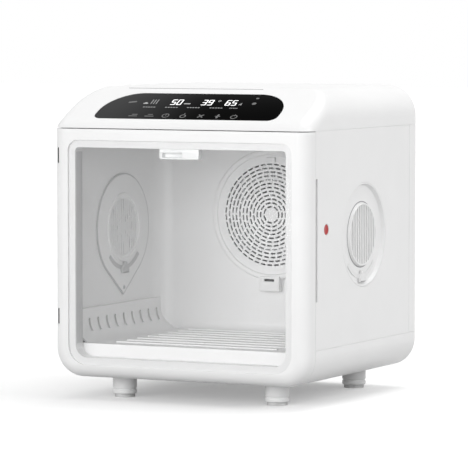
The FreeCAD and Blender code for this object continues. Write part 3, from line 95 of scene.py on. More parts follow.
class Nodes:
    """A node tree that is built up node by node."""

    def __init__(self, tree: bpy.types.NodeTree) -> None:
        """Take over a tree."""
        self.tree = tree

    def fill(self, socket: bpy.types.NodeSocket, value: object) -> None:
        """Link an output to an input, or set the input to a value.

        Args:
            socket: The input.
            value: The output or the value.
        """
        if isinstance(value, bpy.types.NodeSocket):
            self.tree.links.new(value, socket)
        else:
            socket.default_value = value

    def add(self, kind: str, inputs: dict[str | int, object], **settings: object) -> bpy.types.Node:
        """Add a node.

        Args:
            kind: The end of the node's type name.
            inputs: Outputs or values for its inputs.
            **settings: Properties of the node.

        Returns:
            The new node.
        """
        node = self.tree.nodes.new(f"ShaderNode{kind}")
        for key, value in settings.items():
            setattr(node, key, value)
        for key, value in inputs.items():
            self.fill(node.inputs[key], value)
        return node

    def spread(self, strength: bpy.types.NodeSocket, low: float, high: float,
               start: float = 0.0, stop: float = 1.0) -> bpy.types.NodeSocket:
        """Numbers between two ends of a pattern.

        Args:
            strength: The pattern.
            low: Number where it is weak.
            high: Number where it is strong.
            start: Strength at which the low number ends.
            stop: Strength at which the high number starts.

        Returns:
            The number.
        """
        return self.add("MapRange", {
            "Value": strength, "From Min": start, "From Max": stop, "To Min": low, "To Max": high,
        }).outputs["Result"]

    def uneven(self, strength: bpy.types.NodeSocket, middle: float, share: float) -> bpy.types.NodeSocket:
        """Numbers that stray either way from a middle by a share of it."""
        return self.spread(strength, middle * (1 - share), middle * (1 + share))


class Shader(Nodes):
    """A new material's nodes around its principled shader."""

    def __init__(self, name: str) -> None:
        """Start a material.

        Args:
            name: The material's name.
        """
        self.material = bpy.data.materials.new(name)
        self.material.use_nodes = True
        super().__init__(self.material.node_tree)
        self.skin = self.tree.nodes["Principled BSDF"]
        self.coords = self.add("TexCoord", {}).outputs["Object"]

    def set(self, **values: object) -> None:
        """Fill sockets of the principled shader; underscores stand for spaces."""
        for key, value in values.items():
            self.fill(self.skin.inputs[key.replace("_", " ")], value)

    def mapped(self, size: Sequence[float]) -> bpy.types.NodeSocket:
        """Object coordinates, counted in a pattern's size along each axis."""
        return self.add("Mapping", {"Vector": self.coords, "Scale": size}, vector_type="TEXTURE").outputs["Vector"]

    def noise(self, size: float, detail: float = 3.0, stretch: Point = (1, 1, 1)) -> bpy.types.NodeSocket:
        """Cloudy pattern with blots of a size in metres.

        Args:
            size: Size of the blots.
            detail: Levels of finer detail.
            stretch: Factors that draw the blots out along each axis.

        Returns:
            The pattern's strength, from 0 to 1.
        """
        return self.add("TexNoise", {
            "Vector": self.mapped([size * part for part in stretch]), "Scale": 1.0, "Detail": detail,
        }).outputs["Fac"]

    def ramp(self, strength: bpy.types.NodeSocket, low: Colour, high: Colour,
             start: float = 0.3, stop: float = 0.7) -> bpy.types.NodeSocket:
        """Colours between two ends of a pattern.

        Args:
            strength: The pattern.
            low: Colour where it is weak.
            high: Colour where it is strong.
            start: Strength at which the low colour ends.
            stop: Strength at which the high colour starts.

        Returns:
            The colour.
        """
        node = self.add("ValToRGB", {"Fac": strength})
        for element, place, colour in zip(node.color_ramp.elements, (start, stop), (low, high)):
            element.position = place
            element.color = (*colour, 1.0)
        return node.outputs["Color"]

    def bump(self, height: bpy.types.NodeSocket, distance: float, share: float) -> None:
        """Raise the surface by a pattern, up to a distance in metres, of which a share shows."""
        node = self.add("Bump", {"Height": height, "Distance": distance, "Strength": share})
        self.set(Normal=node.outputs["Normal"])


def shade(colour: Colour, factor: float) -> Colour:
    """A colour made lighter or darker by a factor."""
    return tuple(min(1.0, part * factor) for part in colour)


@dataclass(frozen=True)
class Finish:
    """What a surface is made of; each kind lays its own nodes."""

    name: str
    colour: Colour

    def dress(self, shader: Shader) -> None:
        """Lay the finish's nodes into a new material."""
        raise NotImplementedError


@functools.cache
def material_of(finish: Finish) -> bpy.types.Material:
    """The finish's material, made once.

    Args:
        finish: The finish.

    Returns:
        The material.
    """
    shader = Shader(finish.name)
    finish.dress(shader)
    return shader.material


@dataclass(frozen=True)
class MouldedPlastic(Finish):
    """Moulded plastic with a faint cloudy tint, uneven polish and a fine grain."""

    roughness: float = 0.32
    cloud: float = 0.025
    cloud_size: float = 0.09
    polish: float = 0.08
    polish_size: float = 0.03
    grain_size: float = 0.0016
    grain_height: float = 0.000003
    grain_share: float = 0.35
    coat: float = 0.0
    coat_roughness: float = 0.08

    def dress(self, shader: Shader) -> None:
        """Lay the clouds, the polish and the grain.

        Args:
            shader: The new material.
        """
        clouds = shader.noise(self.cloud_size)
        polish = shader.noise(self.polish_size, 1.0)
        shader.set(
            Base_Color=shader.ramp(clouds, shade(self.colour, 1 - self.cloud), self.colour),
            Roughness=shader.uneven(polish, self.roughness, self.polish),
            Coat_Weight=self.coat, Coat_Roughness=self.coat_roughness)
        shader.bump(shader.noise(self.grain_size, 2.0), self.grain_height, self.grain_share)


@dataclass(frozen=True)
class ClearSheet(Finish):
    """Clear acrylic that lets most light straight through, with faint wipe marks."""

    cover: float
    roughness: float = 0.05
    polish: tuple[float, float] = (0.7, 1.4)
    wipe_size: float = 0.05
    wipe_stretch: Point = (3.0, 1.0, 0.6)
    wipe_shade: float = 0.94
    refraction: float = 1.49

    def dress(self, shader: Shader) -> None:
        """Lay the wipe marks and let the light through.

        Args:
            shader: The new material.
        """
        wipes = shader.noise(self.wipe_size, 4.0, self.wipe_stretch)
        shader.set(
            Base_Color=shader.ramp(wipes, shade(self.colour, self.wipe_shade), self.colour),
            Roughness=shader.spread(wipes, *(self.roughness * part for part in self.polish)),
            Alpha=self.cover, IOR=self.refraction)
        shader.material.surface_render_method = "BLENDED"


@dataclass(frozen=True)
class SmokedGlass(Finish):
    """Black glass with a painted reflection: its colour fades along X from a dark grey to a darker one."""

    dark: Colour
    pale_x: float
    dark_x: float
    roughness: tuple[float, float] = (0.06, 0.14)
    smear_size: float = 0.03
    smear_stretch: Point = (2.0, 1.0, 1.0)
    shine: float = 0.08
    refraction: float = 1.1

    def dress(self, shader: Shader) -> None:
        """Lay the painted reflection that fades along X, and the smears.

        Args:
            shader: The new material.
        """
        # The fade of the base colour along X is a painted reflection of the surroundings.
        split = shader.add("SeparateXYZ", {"Vector": shader.coords})
        along = shader.add("MapRange", {
            "Value": split.outputs["X"], "From Min": self.pale_x, "From Max": self.dark_x,
        }, interpolation_type="SMOOTHSTEP")
        smears = shader.noise(self.smear_size, 4.0, self.smear_stretch)
        shader.set(
            Base_Color=shader.ramp(along.outputs["Result"], self.colour, self.dark, 0.0, 1.0),
            Roughness=shader.spread(smears, *self.roughness),
            Specular_IOR_Level=self.shine, IOR=self.refraction)


@dataclass(frozen=True)
class GlowingPrint(Finish):
    """Print with light behind it, a little uneven from place to place."""

    strength: float
    print_share: float = 0.5
    roughness: float = 0.3
    lamp_size: float = 0.006
    lamp_shade: float = 0.9
    print_shade: float = 0.8

    def dress(self, shader: Shader) -> None:
        """Lay the print and the light behind it.

        Args:
            shader: The new material.
        """
        lamps = shader.noise(self.lamp_size, 1.0)
        ink = shade(self.colour, self.print_share)
        shader.set(
            Base_Color=shader.ramp(lamps, shade(ink, self.print_shade), ink), Roughness=self.roughness,
            Emission_Color=shader.ramp(lamps, shade(self.colour, self.lamp_shade), self.colour),
            Emission_Strength=self.strength)


@dataclass(frozen=True)
class SoftRubber(Finish):
    """Matt rubber with a fine skin and dusty patches."""

    roughness: float = 0.75
    polish: float = 0.1
    dust_size: float = 0.012
    dust_tint: float = 1.35
    skin_size: float = 0.0009
    skin_height: float = 0.00006
    skin_share: float = 0.5

    def dress(self, shader: Shader) -> None:
        """Lay the dust and the skin.

        Args:
            shader: The new material.
        """
        dust = shader.noise(self.dust_size, 4.0)
        shader.set(
            Base_Color=shader.ramp(dust, self.colour, shade(self.colour, self.dust_tint)),
            Roughness=shader.uneven(dust, self.roughness, self.polish))
        shader.bump(shader.noise(self.skin_size, 2.0), self.skin_height, self.skin_share)


@dataclass(frozen=True)
class BrushedMetal(Finish):
    """Metal with brush marks along one axis and a patchy shine."""

    roughness: float = 0.3
    grain: Point = (12.0, 1.0, 1.0)
    brush_size: float = 0.0008
    brush_shade: float = 0.82
    brush_height: float = 0.00002
    brush_share: float = 0.4
    patch: float = 0.25
    patch_size: float = 0.006

    def dress(self, shader: Shader) -> None:
        """Lay the brush marks and the patches.

        Args:
            shader: The new material.
        """
        brush = shader.noise(self.brush_size, 3.0, self.grain)
        patches = shader.noise(self.patch_size)
        shader.set(
            Base_Color=shader.ramp(brush, shade(self.colour, self.brush_shade), self.colour),
            Roughness=shader.uneven(patches, self.roughness, self.patch),
            Metallic=1.0)
        shader.bump(brush, self.brush_height, self.brush_share)


@dataclass(frozen=True)
class PleatedFibre(Finish):
    """Fibre pad in fine pleats, dusted in the folds."""

    roughness: float = 0.95
    pleat: float = 0.006
    pleat_height: float = 0.0012
    pleat_share: float = 0.8
    band_step: float = 0.31
    bend: float = 0.4
    fold_shade: float = 0.6
    fold_start: float = 0.1
    fold_stop: float = 0.8

    def dress(self, shader: Shader) -> None:
        """Lay the pleats.

        Args:
            shader: The new material.
        """
        pleats = shader.add("TexWave", {
            "Vector": shader.mapped((self.pleat / self.band_step,) * 3), "Scale": 1.0, "Distortion": self.bend,
        }, wave_type="BANDS", bands_direction="X").outputs["Fac"]
        folds = shade(self.colour, self.fold_shade)
        shader.set(
            Base_Color=shader.ramp(pleats, folds, self.colour, self.fold_start, self.fold_stop),
            Roughness=self.roughness)
        shader.bump(pleats, self.pleat_height, self.pleat_share)


@dataclass(frozen=True)
class CircuitBoard(Finish):
    """Lacquered board with lighter tracks in a grid of short runs."""

    roughness: tuple[float, float] = (0.3, 0.5)
    gloss_size: float = 0.01
    grid: float = 0.0125
    track: float = 0.06
    track_tint: float = 2.2
    track_height: float = 0.0001
    track_share: float = 0.5
    field_shade: float = 0.8

    def dress(self, shader: Shader) -> None:
        """Lay the tracks and the lacquer.

        Args:
            shader: The new material.
        """
        fields, darker, tracks = (
            (*shade(self.colour, factor), 1.0) for factor in (1.0, self.field_shade, self.track_tint))
        board = shader.add("TexBrick", {
            "Vector": shader.mapped((self.grid,) * 3), "Scale": 1.0, "Mortar Size": self.track,
            "Color1": fields, "Color2": darker, "Mortar": tracks,
        })
        shader.set(
            Base_Color=board.outputs["Color"],
            Roughness=shader.spread(shader.noise(self.gloss_size), *self.roughness))
        shader.bump(board.outputs["Fac"], self.track_height, self.track_share)


WHITE_GLOSS = MouldedPlastic("white_gloss", (0.84, 0.84, 0.84), 0.3)
WHITE_LINER = MouldedPlastic("white_liner", (0.94, 0.94, 0.94), 0.34, cloud=0.03)
SOFT_WHITE = MouldedPlastic("soft_white", (0.8, 0.8, 0.8), 0.36)
# Pale grey plastic; also the grey strips and outline of painted shade along the window and around the vent covers.
PALE_GREY = MouldedPlastic("pale_grey", (0.62, 0.62, 0.625), 0.36)
FROSTED = MouldedPlastic("frosted_moulding", (0.86, 0.87, 0.87), 0.22, coat=0.3)
CLEAR_PANE = ClearSheet("clear_pane", (0.62, 0.63, 0.64), 0.05)
# Painted reflection: the glass fades from dark grey at the left to black at the right.
PANEL_GLASS = SmokedGlass("panel_glass", (0.05, 0.05, 0.051), (0.002, 0.002, 0.002), -0.16, 0.04)
LIT_WHITE = GlowingPrint("lit_white", (1.0, 1.0, 1.0), 1.0)
LIT_SOFT = GlowingPrint("lit_soft", (1.0, 1.0, 1.0), 0.3, 0.12)
LIT_DIM = GlowingPrint("lit_dim", (1.0, 1.0, 1.0), 0.16, 0.1)
THIN_BLADE = MouldedPlastic("thin_blade", (0.96, 0.96, 0.96), 0.4, cloud=0.02)
LIT_FAINT = GlowingPrint("lit_faint", (1.0, 1.0, 1.0), 0.045, 0.06)
RED_GLOSS = MouldedPlastic("red_gloss", (0.4, 0.006, 0.006), 0.4)
# Black matt plastic; also the black block of painted shade in the grille clip's slot.
BLACK_MATT = MouldedPlastic("black_matt", (0.014, 0.014, 0.015), 0.5, cloud=0.2)
# Grey matt plastic; also the crest line of painted shade on the hood.
GREY_MATT = MouldedPlastic("grey_matt", (0.2, 0.205, 0.21), 0.5, cloud=0.1)
# Grey rubber of the real seals; also the grey drum line of painted shade.
GREY_SEAL_AND_SHADE = SoftRubber("grey_seal", (0.3, 0.3, 0.31))
FOOT_RUBBER = SoftRubber("foot_rubber", (0.5, 0.5, 0.5))
PLATED_STEEL = BrushedMetal("plated_steel", (0.6, 0.61, 0.62))
PAINTED_CAN = MouldedPlastic("painted_can", (0.06, 0.06, 0.065), 0.4, cloud=0.15)
BARE_FINS = BrushedMetal("bare_fins", (0.72, 0.73, 0.74), 0.38, (1.0, 1.0, 10.0))
BRASS_PRONG = BrushedMetal("brass_prong", (0.75, 0.6, 0.3), 0.25, (1.0, 8.0, 1.0))
GREEN_BOARD = CircuitBoard("green_board", (0.02, 0.13, 0.06))
FILTER_FIBRE = PleatedFibre("filter_fibre", (0.75, 0.76, 0.77))

SLOT_FINISHES: dict[str, Finish] = {
    "white_casing": WHITE_GLOSS,
    "white_liner": WHITE_LINER,
    "clear_pane": CLEAR_PANE,
    "black_panel": PANEL_GLASS,
    "frosted_catch": FROSTED,
    "red_button": RED_GLOSS,
    "black_hinge": BLACK_MATT,
    "grey_rubber": GREY_SEAL_AND_SHADE,
    "foot_rubber": FOOT_RUBBER,
    "steel": PLATED_STEEL,
    "motor_metal": PAINTED_CAN,
    "heater_metal": BARE_FINS,
    "inlet_plastic": BLACK_MATT,
    "prong_brass": BRASS_PRONG,
    "board_green": GREEN_BOARD,
    "filter_fibre": FILTER_FIBRE,
    "grey_impeller": GREY_MATT,
}


def dress_frame() -> None:
    """Give every node of the frame the finish of its material slot."""
    for part in frame["record"]["subparts"]:
        node = frame["nodes"][part["node"]]
        node.data.materials.clear()
        node.data.materials.append(material_of(SLOT_FINISHES[part["material_slot"]]))
        log.info("dressed %s as %s", node.name, part["material_slot"])


# Modelling

class Axis(Enum):
    """Axes that round pieces are turned about, each with the angles that bring Z onto it."""

    X = (0.0, math.pi / 2, 0.0)
    Y = (-math.pi / 2, 0.0, 0.0)
    Z = (0.0, 0.0, 0.0)

    @property
    def line(self) -> Vector:
        """Unit vector along the axis."""
        return Euler(self.value).to_matrix() @ Vector((0.0, 0.0, 1.0))


class Pick(Enum):
    """Kinds of mesh parts that can be selected."""

    FACE = "faces"
    EDGE = "edges"
    VERT = "verts"


def select_only(*items: bpy.types.Object) -> None:
    """Select some objects and nothing else, and make the first one active."""
    bpy.ops.object.select_all(action="DESELECT")
    for item in items:
        item.select_set(True)
    bpy.context.view_layer.objects.active = items[0] if items else None


def facing(direction: Sequence[float], least: float = 0.95) -> Callable[[bmesh.types.BMFace], bool]:
    """A test for faces that look one way, with the least cosine of the angle between the two."""
    way = Vector(direction).normalized()
    return lambda face: face.normal.dot(way) > least


def running(direction: Sequence[float], least: float = 0.999) -> Callable[[bmesh.types.BMEdge], bool]:
    """A test for edges that run along a direction.

    Args:
        direction: The direction.
        least: Least cosine of the angle between the two.

    Returns:
        The test.
    """
    way = Vector(direction).normalized()

    def test(edge: bmesh.types.BMEdge) -> bool:
        """Whether the edge runs that way."""
        span = edge.verts[1].co - edge.verts[0].co
        return abs(span.dot(way)) > least * span.length

    return test


def edge_middle(edge: bmesh.types.BMEdge) -> Vector:
    """Middle of an edge."""
    return (edge.verts[0].co + edge.verts[1].co) / 2


def anywhere(place: Vector) -> bool:
    """The test that every place passes."""
    return True


class Workpiece:
    """A mesh that starts from a primitive and is shaped in edit mode, with its place in the mesh."""

    def __init__(self, name: str) -> None:
        """Take over the object that was added last.

        Args:
            name: The piece's name.
        """
        self.item = bpy.context.active_object
        self.item.name = name
        bpy.ops.object.transform_apply(location=True, rotation=True, scale=True)

    @classmethod
    def block(cls, name: str, low: Sequence[float], high: Sequence[float]) -> "Workpiece":
        """Start from a cube that fills the space between two corners.

        Args:
            name: The piece's name.
            low: Lowest corner.
            high: Highest corner.

        Returns:
            The piece.
        """
        select_only()
        low, high = Vector(low), Vector(high)
        bpy.ops.mesh.primitive_cube_add(size=1.0, location=(low + high) / 2, scale=high - low)
        return cls(name)

    @classmethod
    def turned(cls, name: str, base: Sequence[float], axis: Axis, profile: Sequence[tuple[float, float]],
               sides: int = 64, hollow: bool = False) -> "Workpiece":
        """Start from a circle and draw it along an axis, wider or narrower at each step.

        Args:
            name: The piece's name.
            base: Point on the axis that heights are counted from.
            axis: The axis.
            profile: Radius and height at each step.
            sides: Corners of the circle.
            hollow: Whether the profile closes on itself round a hole.

        Returns:
            The piece.
        """
        select_only()
        steps = [*profile, profile[0]] if hollow else list(profile)
        radius, height = steps[0]
        bpy.ops.mesh.primitive_circle_add(
            vertices=sides, radius=radius, fill_type="NOTHING" if hollow else "NGON",
            location=Vector(base) + axis.line * height, rotation=axis.value)
        piece = cls(name)
        with piece.editing():
            bpy.ops.mesh.select_all(action="SELECT")
            for next_radius, next_height in steps[1:]:
                bpy.ops.mesh.extrude_region_move(
                    TRANSFORM_OT_translate={"value": axis.line * (next_height - height)})
                bpy.ops.transform.resize(
                    value=(next_radius / radius,) * 3, center_override=Vector(base) + axis.line * next_height)
                radius, height = next_radius, next_height
        return piece

    @contextmanager
    def editing(self) -> Iterator[None]:
        """Edit mode for this piece alone."""
        select_only(self.item)
        bpy.ops.object.mode_set(mode="EDIT")
        yield
        bpy.ops.object.mode_set(mode="OBJECT")

    def pick(self, kind: Pick, test: Callable[[object], bool]) -> None:
        """Select the faces, edges or points that pass a test, in edit mode.

        Args:
            kind: What to select.
            test: The test.
        """
        bpy.ops.mesh.select_mode(type=kind.name)
        bpy.ops.mesh.select_all(action="DESELECT")
        mesh = bmesh.from_edit_mesh(self.item.data)
        mesh.normal_update()
        for part in getattr(mesh, kind.value):
            if test(part):
                part.select_set(True)
        bmesh.update_edit_mesh(self.item.data)

    def clean(self) -> None:
        """Merge doubled points and turn all faces outwards, in edit mode."""
        bpy.ops.mesh.select_all(action="SELECT")
        bpy.ops.mesh.remove_doubles(threshold=WELD_GAP)
        bpy.ops.mesh.normals_make_consistent(inside=False)

    def round_edges(self, width: float, segments: int, test: Callable[[bmesh.types.BMEdge], bool]) -> None:
        """Round the edges that pass a test.

        Args:
            width: Distance from the old edge to the new ones.
            segments: Steps of the rounding.
            test: The test.
        """
        with self.editing():
            self.pick(Pick.EDGE, test)
            bpy.ops.mesh.bevel(offset=width, segments=segments, affect="EDGES", clamp_overlap=True)

    def bevel(self, width: float, segments: int, along: Sequence[float], where: Where = anywhere) -> None:
        """Round the edges that run along a direction and whose middle passes a test."""
        runs = running(along)
        self.round_edges(width, segments, lambda edge: runs(edge) and where(edge_middle(edge)))

    def soften(self, width: float, segments: int = 3, angle: float = 40.0, where: Where = anywhere) -> None:
        """Round the sharp edges.

        Args:
            width: Distance from the old edge to the new ones.
            segments: Steps of the rounding.
            angle: Least angle between the faces of a sharp edge, in degrees.
            where: A test for the edge's middle.
        """
        limit = math.radians(angle)
        self.round_edges(width, segments, lambda edge: edge.is_manifold
                         and edge.calc_face_angle() > limit and where(edge_middle(edge)))

    def score(self, place: Sequence[float], normal: Sequence[float]) -> None:
        """Divide the faces along a plane.

        Args:
            place: A point on the plane.
            normal: The plane's normal.
        """
        with self.editing():
            bpy.ops.mesh.select_all(action="SELECT")
            bpy.ops.mesh.bisect(plane_co=place, plane_no=normal)

    def draw(self, test: Callable[[bmesh.types.BMFace], bool], shift: Sequence[float],
             scale: Sequence[float] = (1, 1, 1), about: Sequence[float] = (0, 0, 0)) -> None:
        """Extrude the faces that pass a test.

        Args:
            test: The test.
            shift: How far they move.
            scale: How much they grow after the move.
            about: The point that they grow from.
        """
        with self.editing():
            self.pick(Pick.FACE, test)
            bpy.ops.mesh.extrude_region_move(TRANSFORM_OT_translate={"value": shift})
            bpy.ops.transform.resize(value=scale, center_override=about)

    def recess(self, across: tuple[float, float], upright: tuple[float, float], depth: float) -> None:
        """Sink a rectangle into the front.

        Args:
            across: X of its left and right side.
            upright: Z of its lower and upper side.
            depth: How far it goes in.
        """
        for x in across:
            self.score((x, 0, 0), (1, 0, 0))
        for z in upright:
            self.score((0, 0, z), (0, 0, 1))
        front = facing((0, -1, 0))

        def inside(face: bmesh.types.BMFace) -> bool:
            """Whether a front face lies in the rectangle."""
            place = face.calc_center_median()
            return front(face) and across[0] < place.x < across[1] and upright[0] < place.z < upright[1]

        self.draw(inside, (0, depth, 0))

    def move(self, shift: Sequence[float] = (0, 0, 0), turn: Sequence[float] = (0, 0, 0),
             scale: Sequence[float] = (1, 1, 1)) -> "Workpiece":
        """Grow, turn and move the piece about the frame's origin.

        Args:
            shift: Where the origin goes.
            turn: Angles that it is turned by.
            scale: How much it grows along each axis.

        Returns:
            The piece itself.
        """
        self.item.location, self.item.rotation_euler, self.item.scale = shift, turn, scale
        select_only(self.item)
        bpy.ops.object.transform_apply(location=True, rotation=True, scale=True)
        return self

    def copy(self, name: str) -> "Workpiece":
        """A copy with its own mesh."""
        select_only(self.item)
        bpy.ops.object.duplicate(linked=False)
        return Workpiece(name)

    def mirrored(self, name: str) -> "Workpiece":
        """A copy on the other side of the cabinet."""
        return self.copy(name).move(scale=(-1, 1, 1))

    def discard(self) -> None:
        """Remove a piece that only served as a pattern."""
        bpy.data.objects.remove(self.item)

    def join(self, *others: "Workpiece") -> None:
        """Take other pieces into this one."""
        select_only(self.item, *(other.item for other in others))
        bpy.ops.object.join()

    def carve(self, tool: "Workpiece") -> None:
        """Take another piece's shape out of this one, and remove that piece.

        Args:
            tool: The other piece.
        """
        select_only(self.item)
        bpy.ops.object.modifier_add(type="BOOLEAN")
        step = self.item.modifiers[-1]
        step.operation = "DIFFERENCE"
        step.object = tool.item
        bpy.ops.object.modifier_apply(modifier=step.name)
        tool.discard()

    def settle(self, finish: Finish, slot: str, *nodes: str, body: Body = Body.CABINET) -> None:
        """Clean the mesh, smooth and dress it, and set the piece on its body.

        Args:
            finish: What it is made of.
            slot: The record's material slot; not used.
            *nodes: Frame nodes that it stands for.
            body: The body that it rides on.
        """
        with self.editing():
            self.clean()
        bpy.ops.object.shade_smooth_by_angle(angle=math.radians(SMOOTH_ANGLE))
        self.item.data.materials.clear()
        self.item.data.materials.append(material_of(finish))
        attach(self.item, body.value)
        if nodes:
            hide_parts(*nodes)
        log.info("built %s for %s", self.item.name, ", ".join(nodes) or "itself")


# Sub-assemblies

@dataclass
class ControlPanel:
    """Black glass on the hood's slope, with lit digits and key marks under its face."""

    foot: Point = (0.0, -0.205, 0.430)
    run: float = 0.106
    rise: float = 0.055
    half_width: float = 0.157
    start: float = 0.015
    length: float = 0.082
    thickness: float = 0.002
    top_radius: float = 0.058
    bottom_radius: float = 0.014
    edge: float = 0.0007
    mark_rise: float = 0.00008
    mark_round: float = 0.45
    point_width: float = 0.15
    hoop_sides: int = 24
    digit_width: float = 0.0085
    digit_height: float = 0.0168
    digit_step: float = 0.0104
    stroke: float = 0.0018
    segment_lap: float = 0.5
    segment_point: float = 0.45
    crest_middle: tuple[float, float] = (-0.021, 0.1125)
    crest_length: float = 0.234
    crest_line: float = 0.0011
    readings: tuple[tuple[str, float], ...] = (("50", -0.0425), ("39", 0.0105), ("65", 0.0515))
    reading_row: float = 0.0605
    legend_row: float = 0.0525
    legend_bars: int = 5
    legend_share: float = 0.8
    legend_width: float = 0.0024
    legends: tuple[tuple[float, float], ...] = (
        (-0.0855, -0.0630), (-0.0470, -0.0240), (-0.0090, 0.0140), (0.0300, 0.0530), (0.0640, 0.0785),
    )
    key_row: float = 0.0265

    SEGMENTS = {
        "0": "abcdef", "3": "abcdg", "5": "acdfg", "6": "acdefg", "9": "abcdfg",
    }

    def build(self) -> None:
        """Make the glass, all its marks and the grey crest line of painted shade."""
        self.make_glass()
        self.make_readings()
        self.make_legends()
        self.make_keys()
        # The crest line is painted shade: a thin grey bar where the slope turns into the top.
        crest = self.bar("crest_line", self.crest_middle, self.crest_length, self.crest_line)
        self.finish_marks("crest_line", GREY_MATT, [crest], "grey_rubber")

    def lay(self, piece: Workpiece) -> None:
        """Bring a piece that was modelled flat onto the slope."""
        piece.move(self.foot, (math.atan2(self.rise, self.run), 0.0, 0.0))

    def make_glass(self) -> None:
        """Model the plate with its two sizes of rounded corner and a polished edge."""
        far = self.start + self.length
        glass = Workpiece.block(
            "panel_glass", (-self.half_width, self.start, -self.thickness), (self.half_width, far, 0.0))
        middle = self.start + self.length / 2
        glass.bevel(self.top_radius, 28, (0, 0, 1), lambda place: place.y > middle)
        glass.bevel(self.bottom_radius, 12, (0, 0, 1), lambda place: place.y < self.start + NEAR)
        glass.soften(self.edge, 3, where=lambda place: place.z > -self.edge)
        self.lay(glass)
        glass.settle(PANEL_GLASS, "black_panel", "control_panel")

    def bar(self, name: str, middle: tuple[float, float], length: float, width: float,
            turn: float = 0.0, point: float = 0.0) -> Workpiece:
        """Model one flat mark.

        Args:
            name: The mark's name.
            middle: Its middle across and along the slope.
            length: Its length.
            width: Its width.
            turn: Angle from level, in degrees.
            point: Length of the pointed ends.

        Returns:
            The mark.
        """
        half = length / 2 - point
        mark = Workpiece.block(name, (-half, -width / 2, 0.0), (half, width / 2, self.mark_rise))
        if point:
            for way in (-1, 1):
                mark.draw(facing((way, 0, 0)), (way * point, 0, 0), (1, self.point_width, 1))
        else:
            mark.bevel(width * self.mark_round, 3, (0, 0, 1))
        return mark.move((*middle, 0.0), (0.0, 0.0, math.radians(turn)))

    def hoop(self, name: str, middle: tuple[float, float], radius: float, width: float) -> Workpiece:
        """Model one flat ring.

        Args:
            name: The ring's name.
            middle: Its middle across and along the slope.
            radius: Its outer radius.
            width: Width of its stroke.

        Returns:
            The ring.
        """
        return Workpiece.turned(name, (*middle, 0.0), Axis.Z, (
            (radius, 0.0), (radius, self.mark_rise), (radius - width, self.mark_rise), (radius - width, 0.0),
        ), self.hoop_sides, hollow=True)

    def finish_marks(self, name: str, finish: Finish, marks: list[Workpiece],
                     slot: str = "black_panel") -> None:
        """Join marks, bring them onto the slope and light them.

        Args:
            name: Name of the joined marks.
            finish: How they are lit.
            marks: The marks, modelled flat.
            slot: The record's material slot.
        """
        first, *others = marks
        first.join(*others)
        first.item.name = name
        self.lay(first)
        first.settle(finish, slot)

    def digit(self, figure: str, left: float) -> list[Workpiece]:
        """Model a digit of pointed segments.

        Args:
            figure: The figure to show.
            left: Place of its left edge across the slope.

        Returns:
            Its segments.
        """
        across = self.digit_width - self.stroke
        half = (self.digit_height - self.stroke) / 2
        low = self.reading_row + self.stroke / 2
        near, far, middle = left + self.stroke / 2, left + self.stroke / 2 + across, left + self.digit_width / 2
        places = {
            "a": (middle, low + 2 * half, 0), "g": (middle, low + half, 0), "d": (middle, low, 0),
            "f": (near, low + 1.5 * half, 90), "b": (far, low + 1.5 * half, 90),
            "e": (near, low + 0.5 * half, 90), "c": (far, low + 0.5 * half, 90),
        }
        segments = []
        for key in self.SEGMENTS[figure]:
            u, v, turn = places[key]
            length = (half if turn else across) + self.stroke * self.segment_lap
            point = self.stroke * self.segment_point
            segments.append(self.bar(f"segment_{key}", (u, v), length, self.stroke, turn, point))
        return segments

    def make_readings(self) -> None:
        """Model the three readings with their unit marks and the rising-air bars."""
        marks = []
        for figures, left in self.readings:
            for index, figure in enumerate(figures):
                marks += self.digit(figure, left + index * self.digit_step)
        self.finish_marks("lit_readings", LIT_WHITE, marks)
        top, low = self.reading_row + self.digit_height, self.reading_row
        units = [
            self.bar("minute_mark", (-0.0135, low + 0.004), 0.0115, 0.0028),
            self.hoop("degree_mark", (0.0385, top - 0.003), 0.0026, 0.0011),
            self.hoop("share_mark_low", (0.0790, low + 0.003), 0.0016, 0.0009),
            self.bar("share_mark_line", (0.0775, low + 0.005), 0.0075, 0.0010, 60),
        ]
        units += [
            self.bar(f"air_bar_{index}", (-0.0765 + index * 0.0045, low + 0.009), 0.0140, 0.0011, 92)
            for index in range(3)
        ]
        units += [
            self.bar("air_arrow_low", (-0.0855, low + 0.0035), 0.0085, 0.0030),
            self.bar("air_arrow_high", (-0.0855, low + 0.0058), 0.0040, 0.0026),
        ]
        self.finish_marks("lit_units", LIT_SOFT, units)

    def make_legends(self) -> None:
        """Model the row of plain bars under the readings."""
        marks = []
        for left, right in self.legends:
            step = (right - left) / self.legend_bars
            marks += [
                self.bar("legend", (left + (index + 0.5) * step, self.legend_row), step * self.legend_share,
                         self.legend_width)
                for index in range(self.legend_bars)
            ]
        self.finish_marks("lit_legends", LIT_DIM, marks)

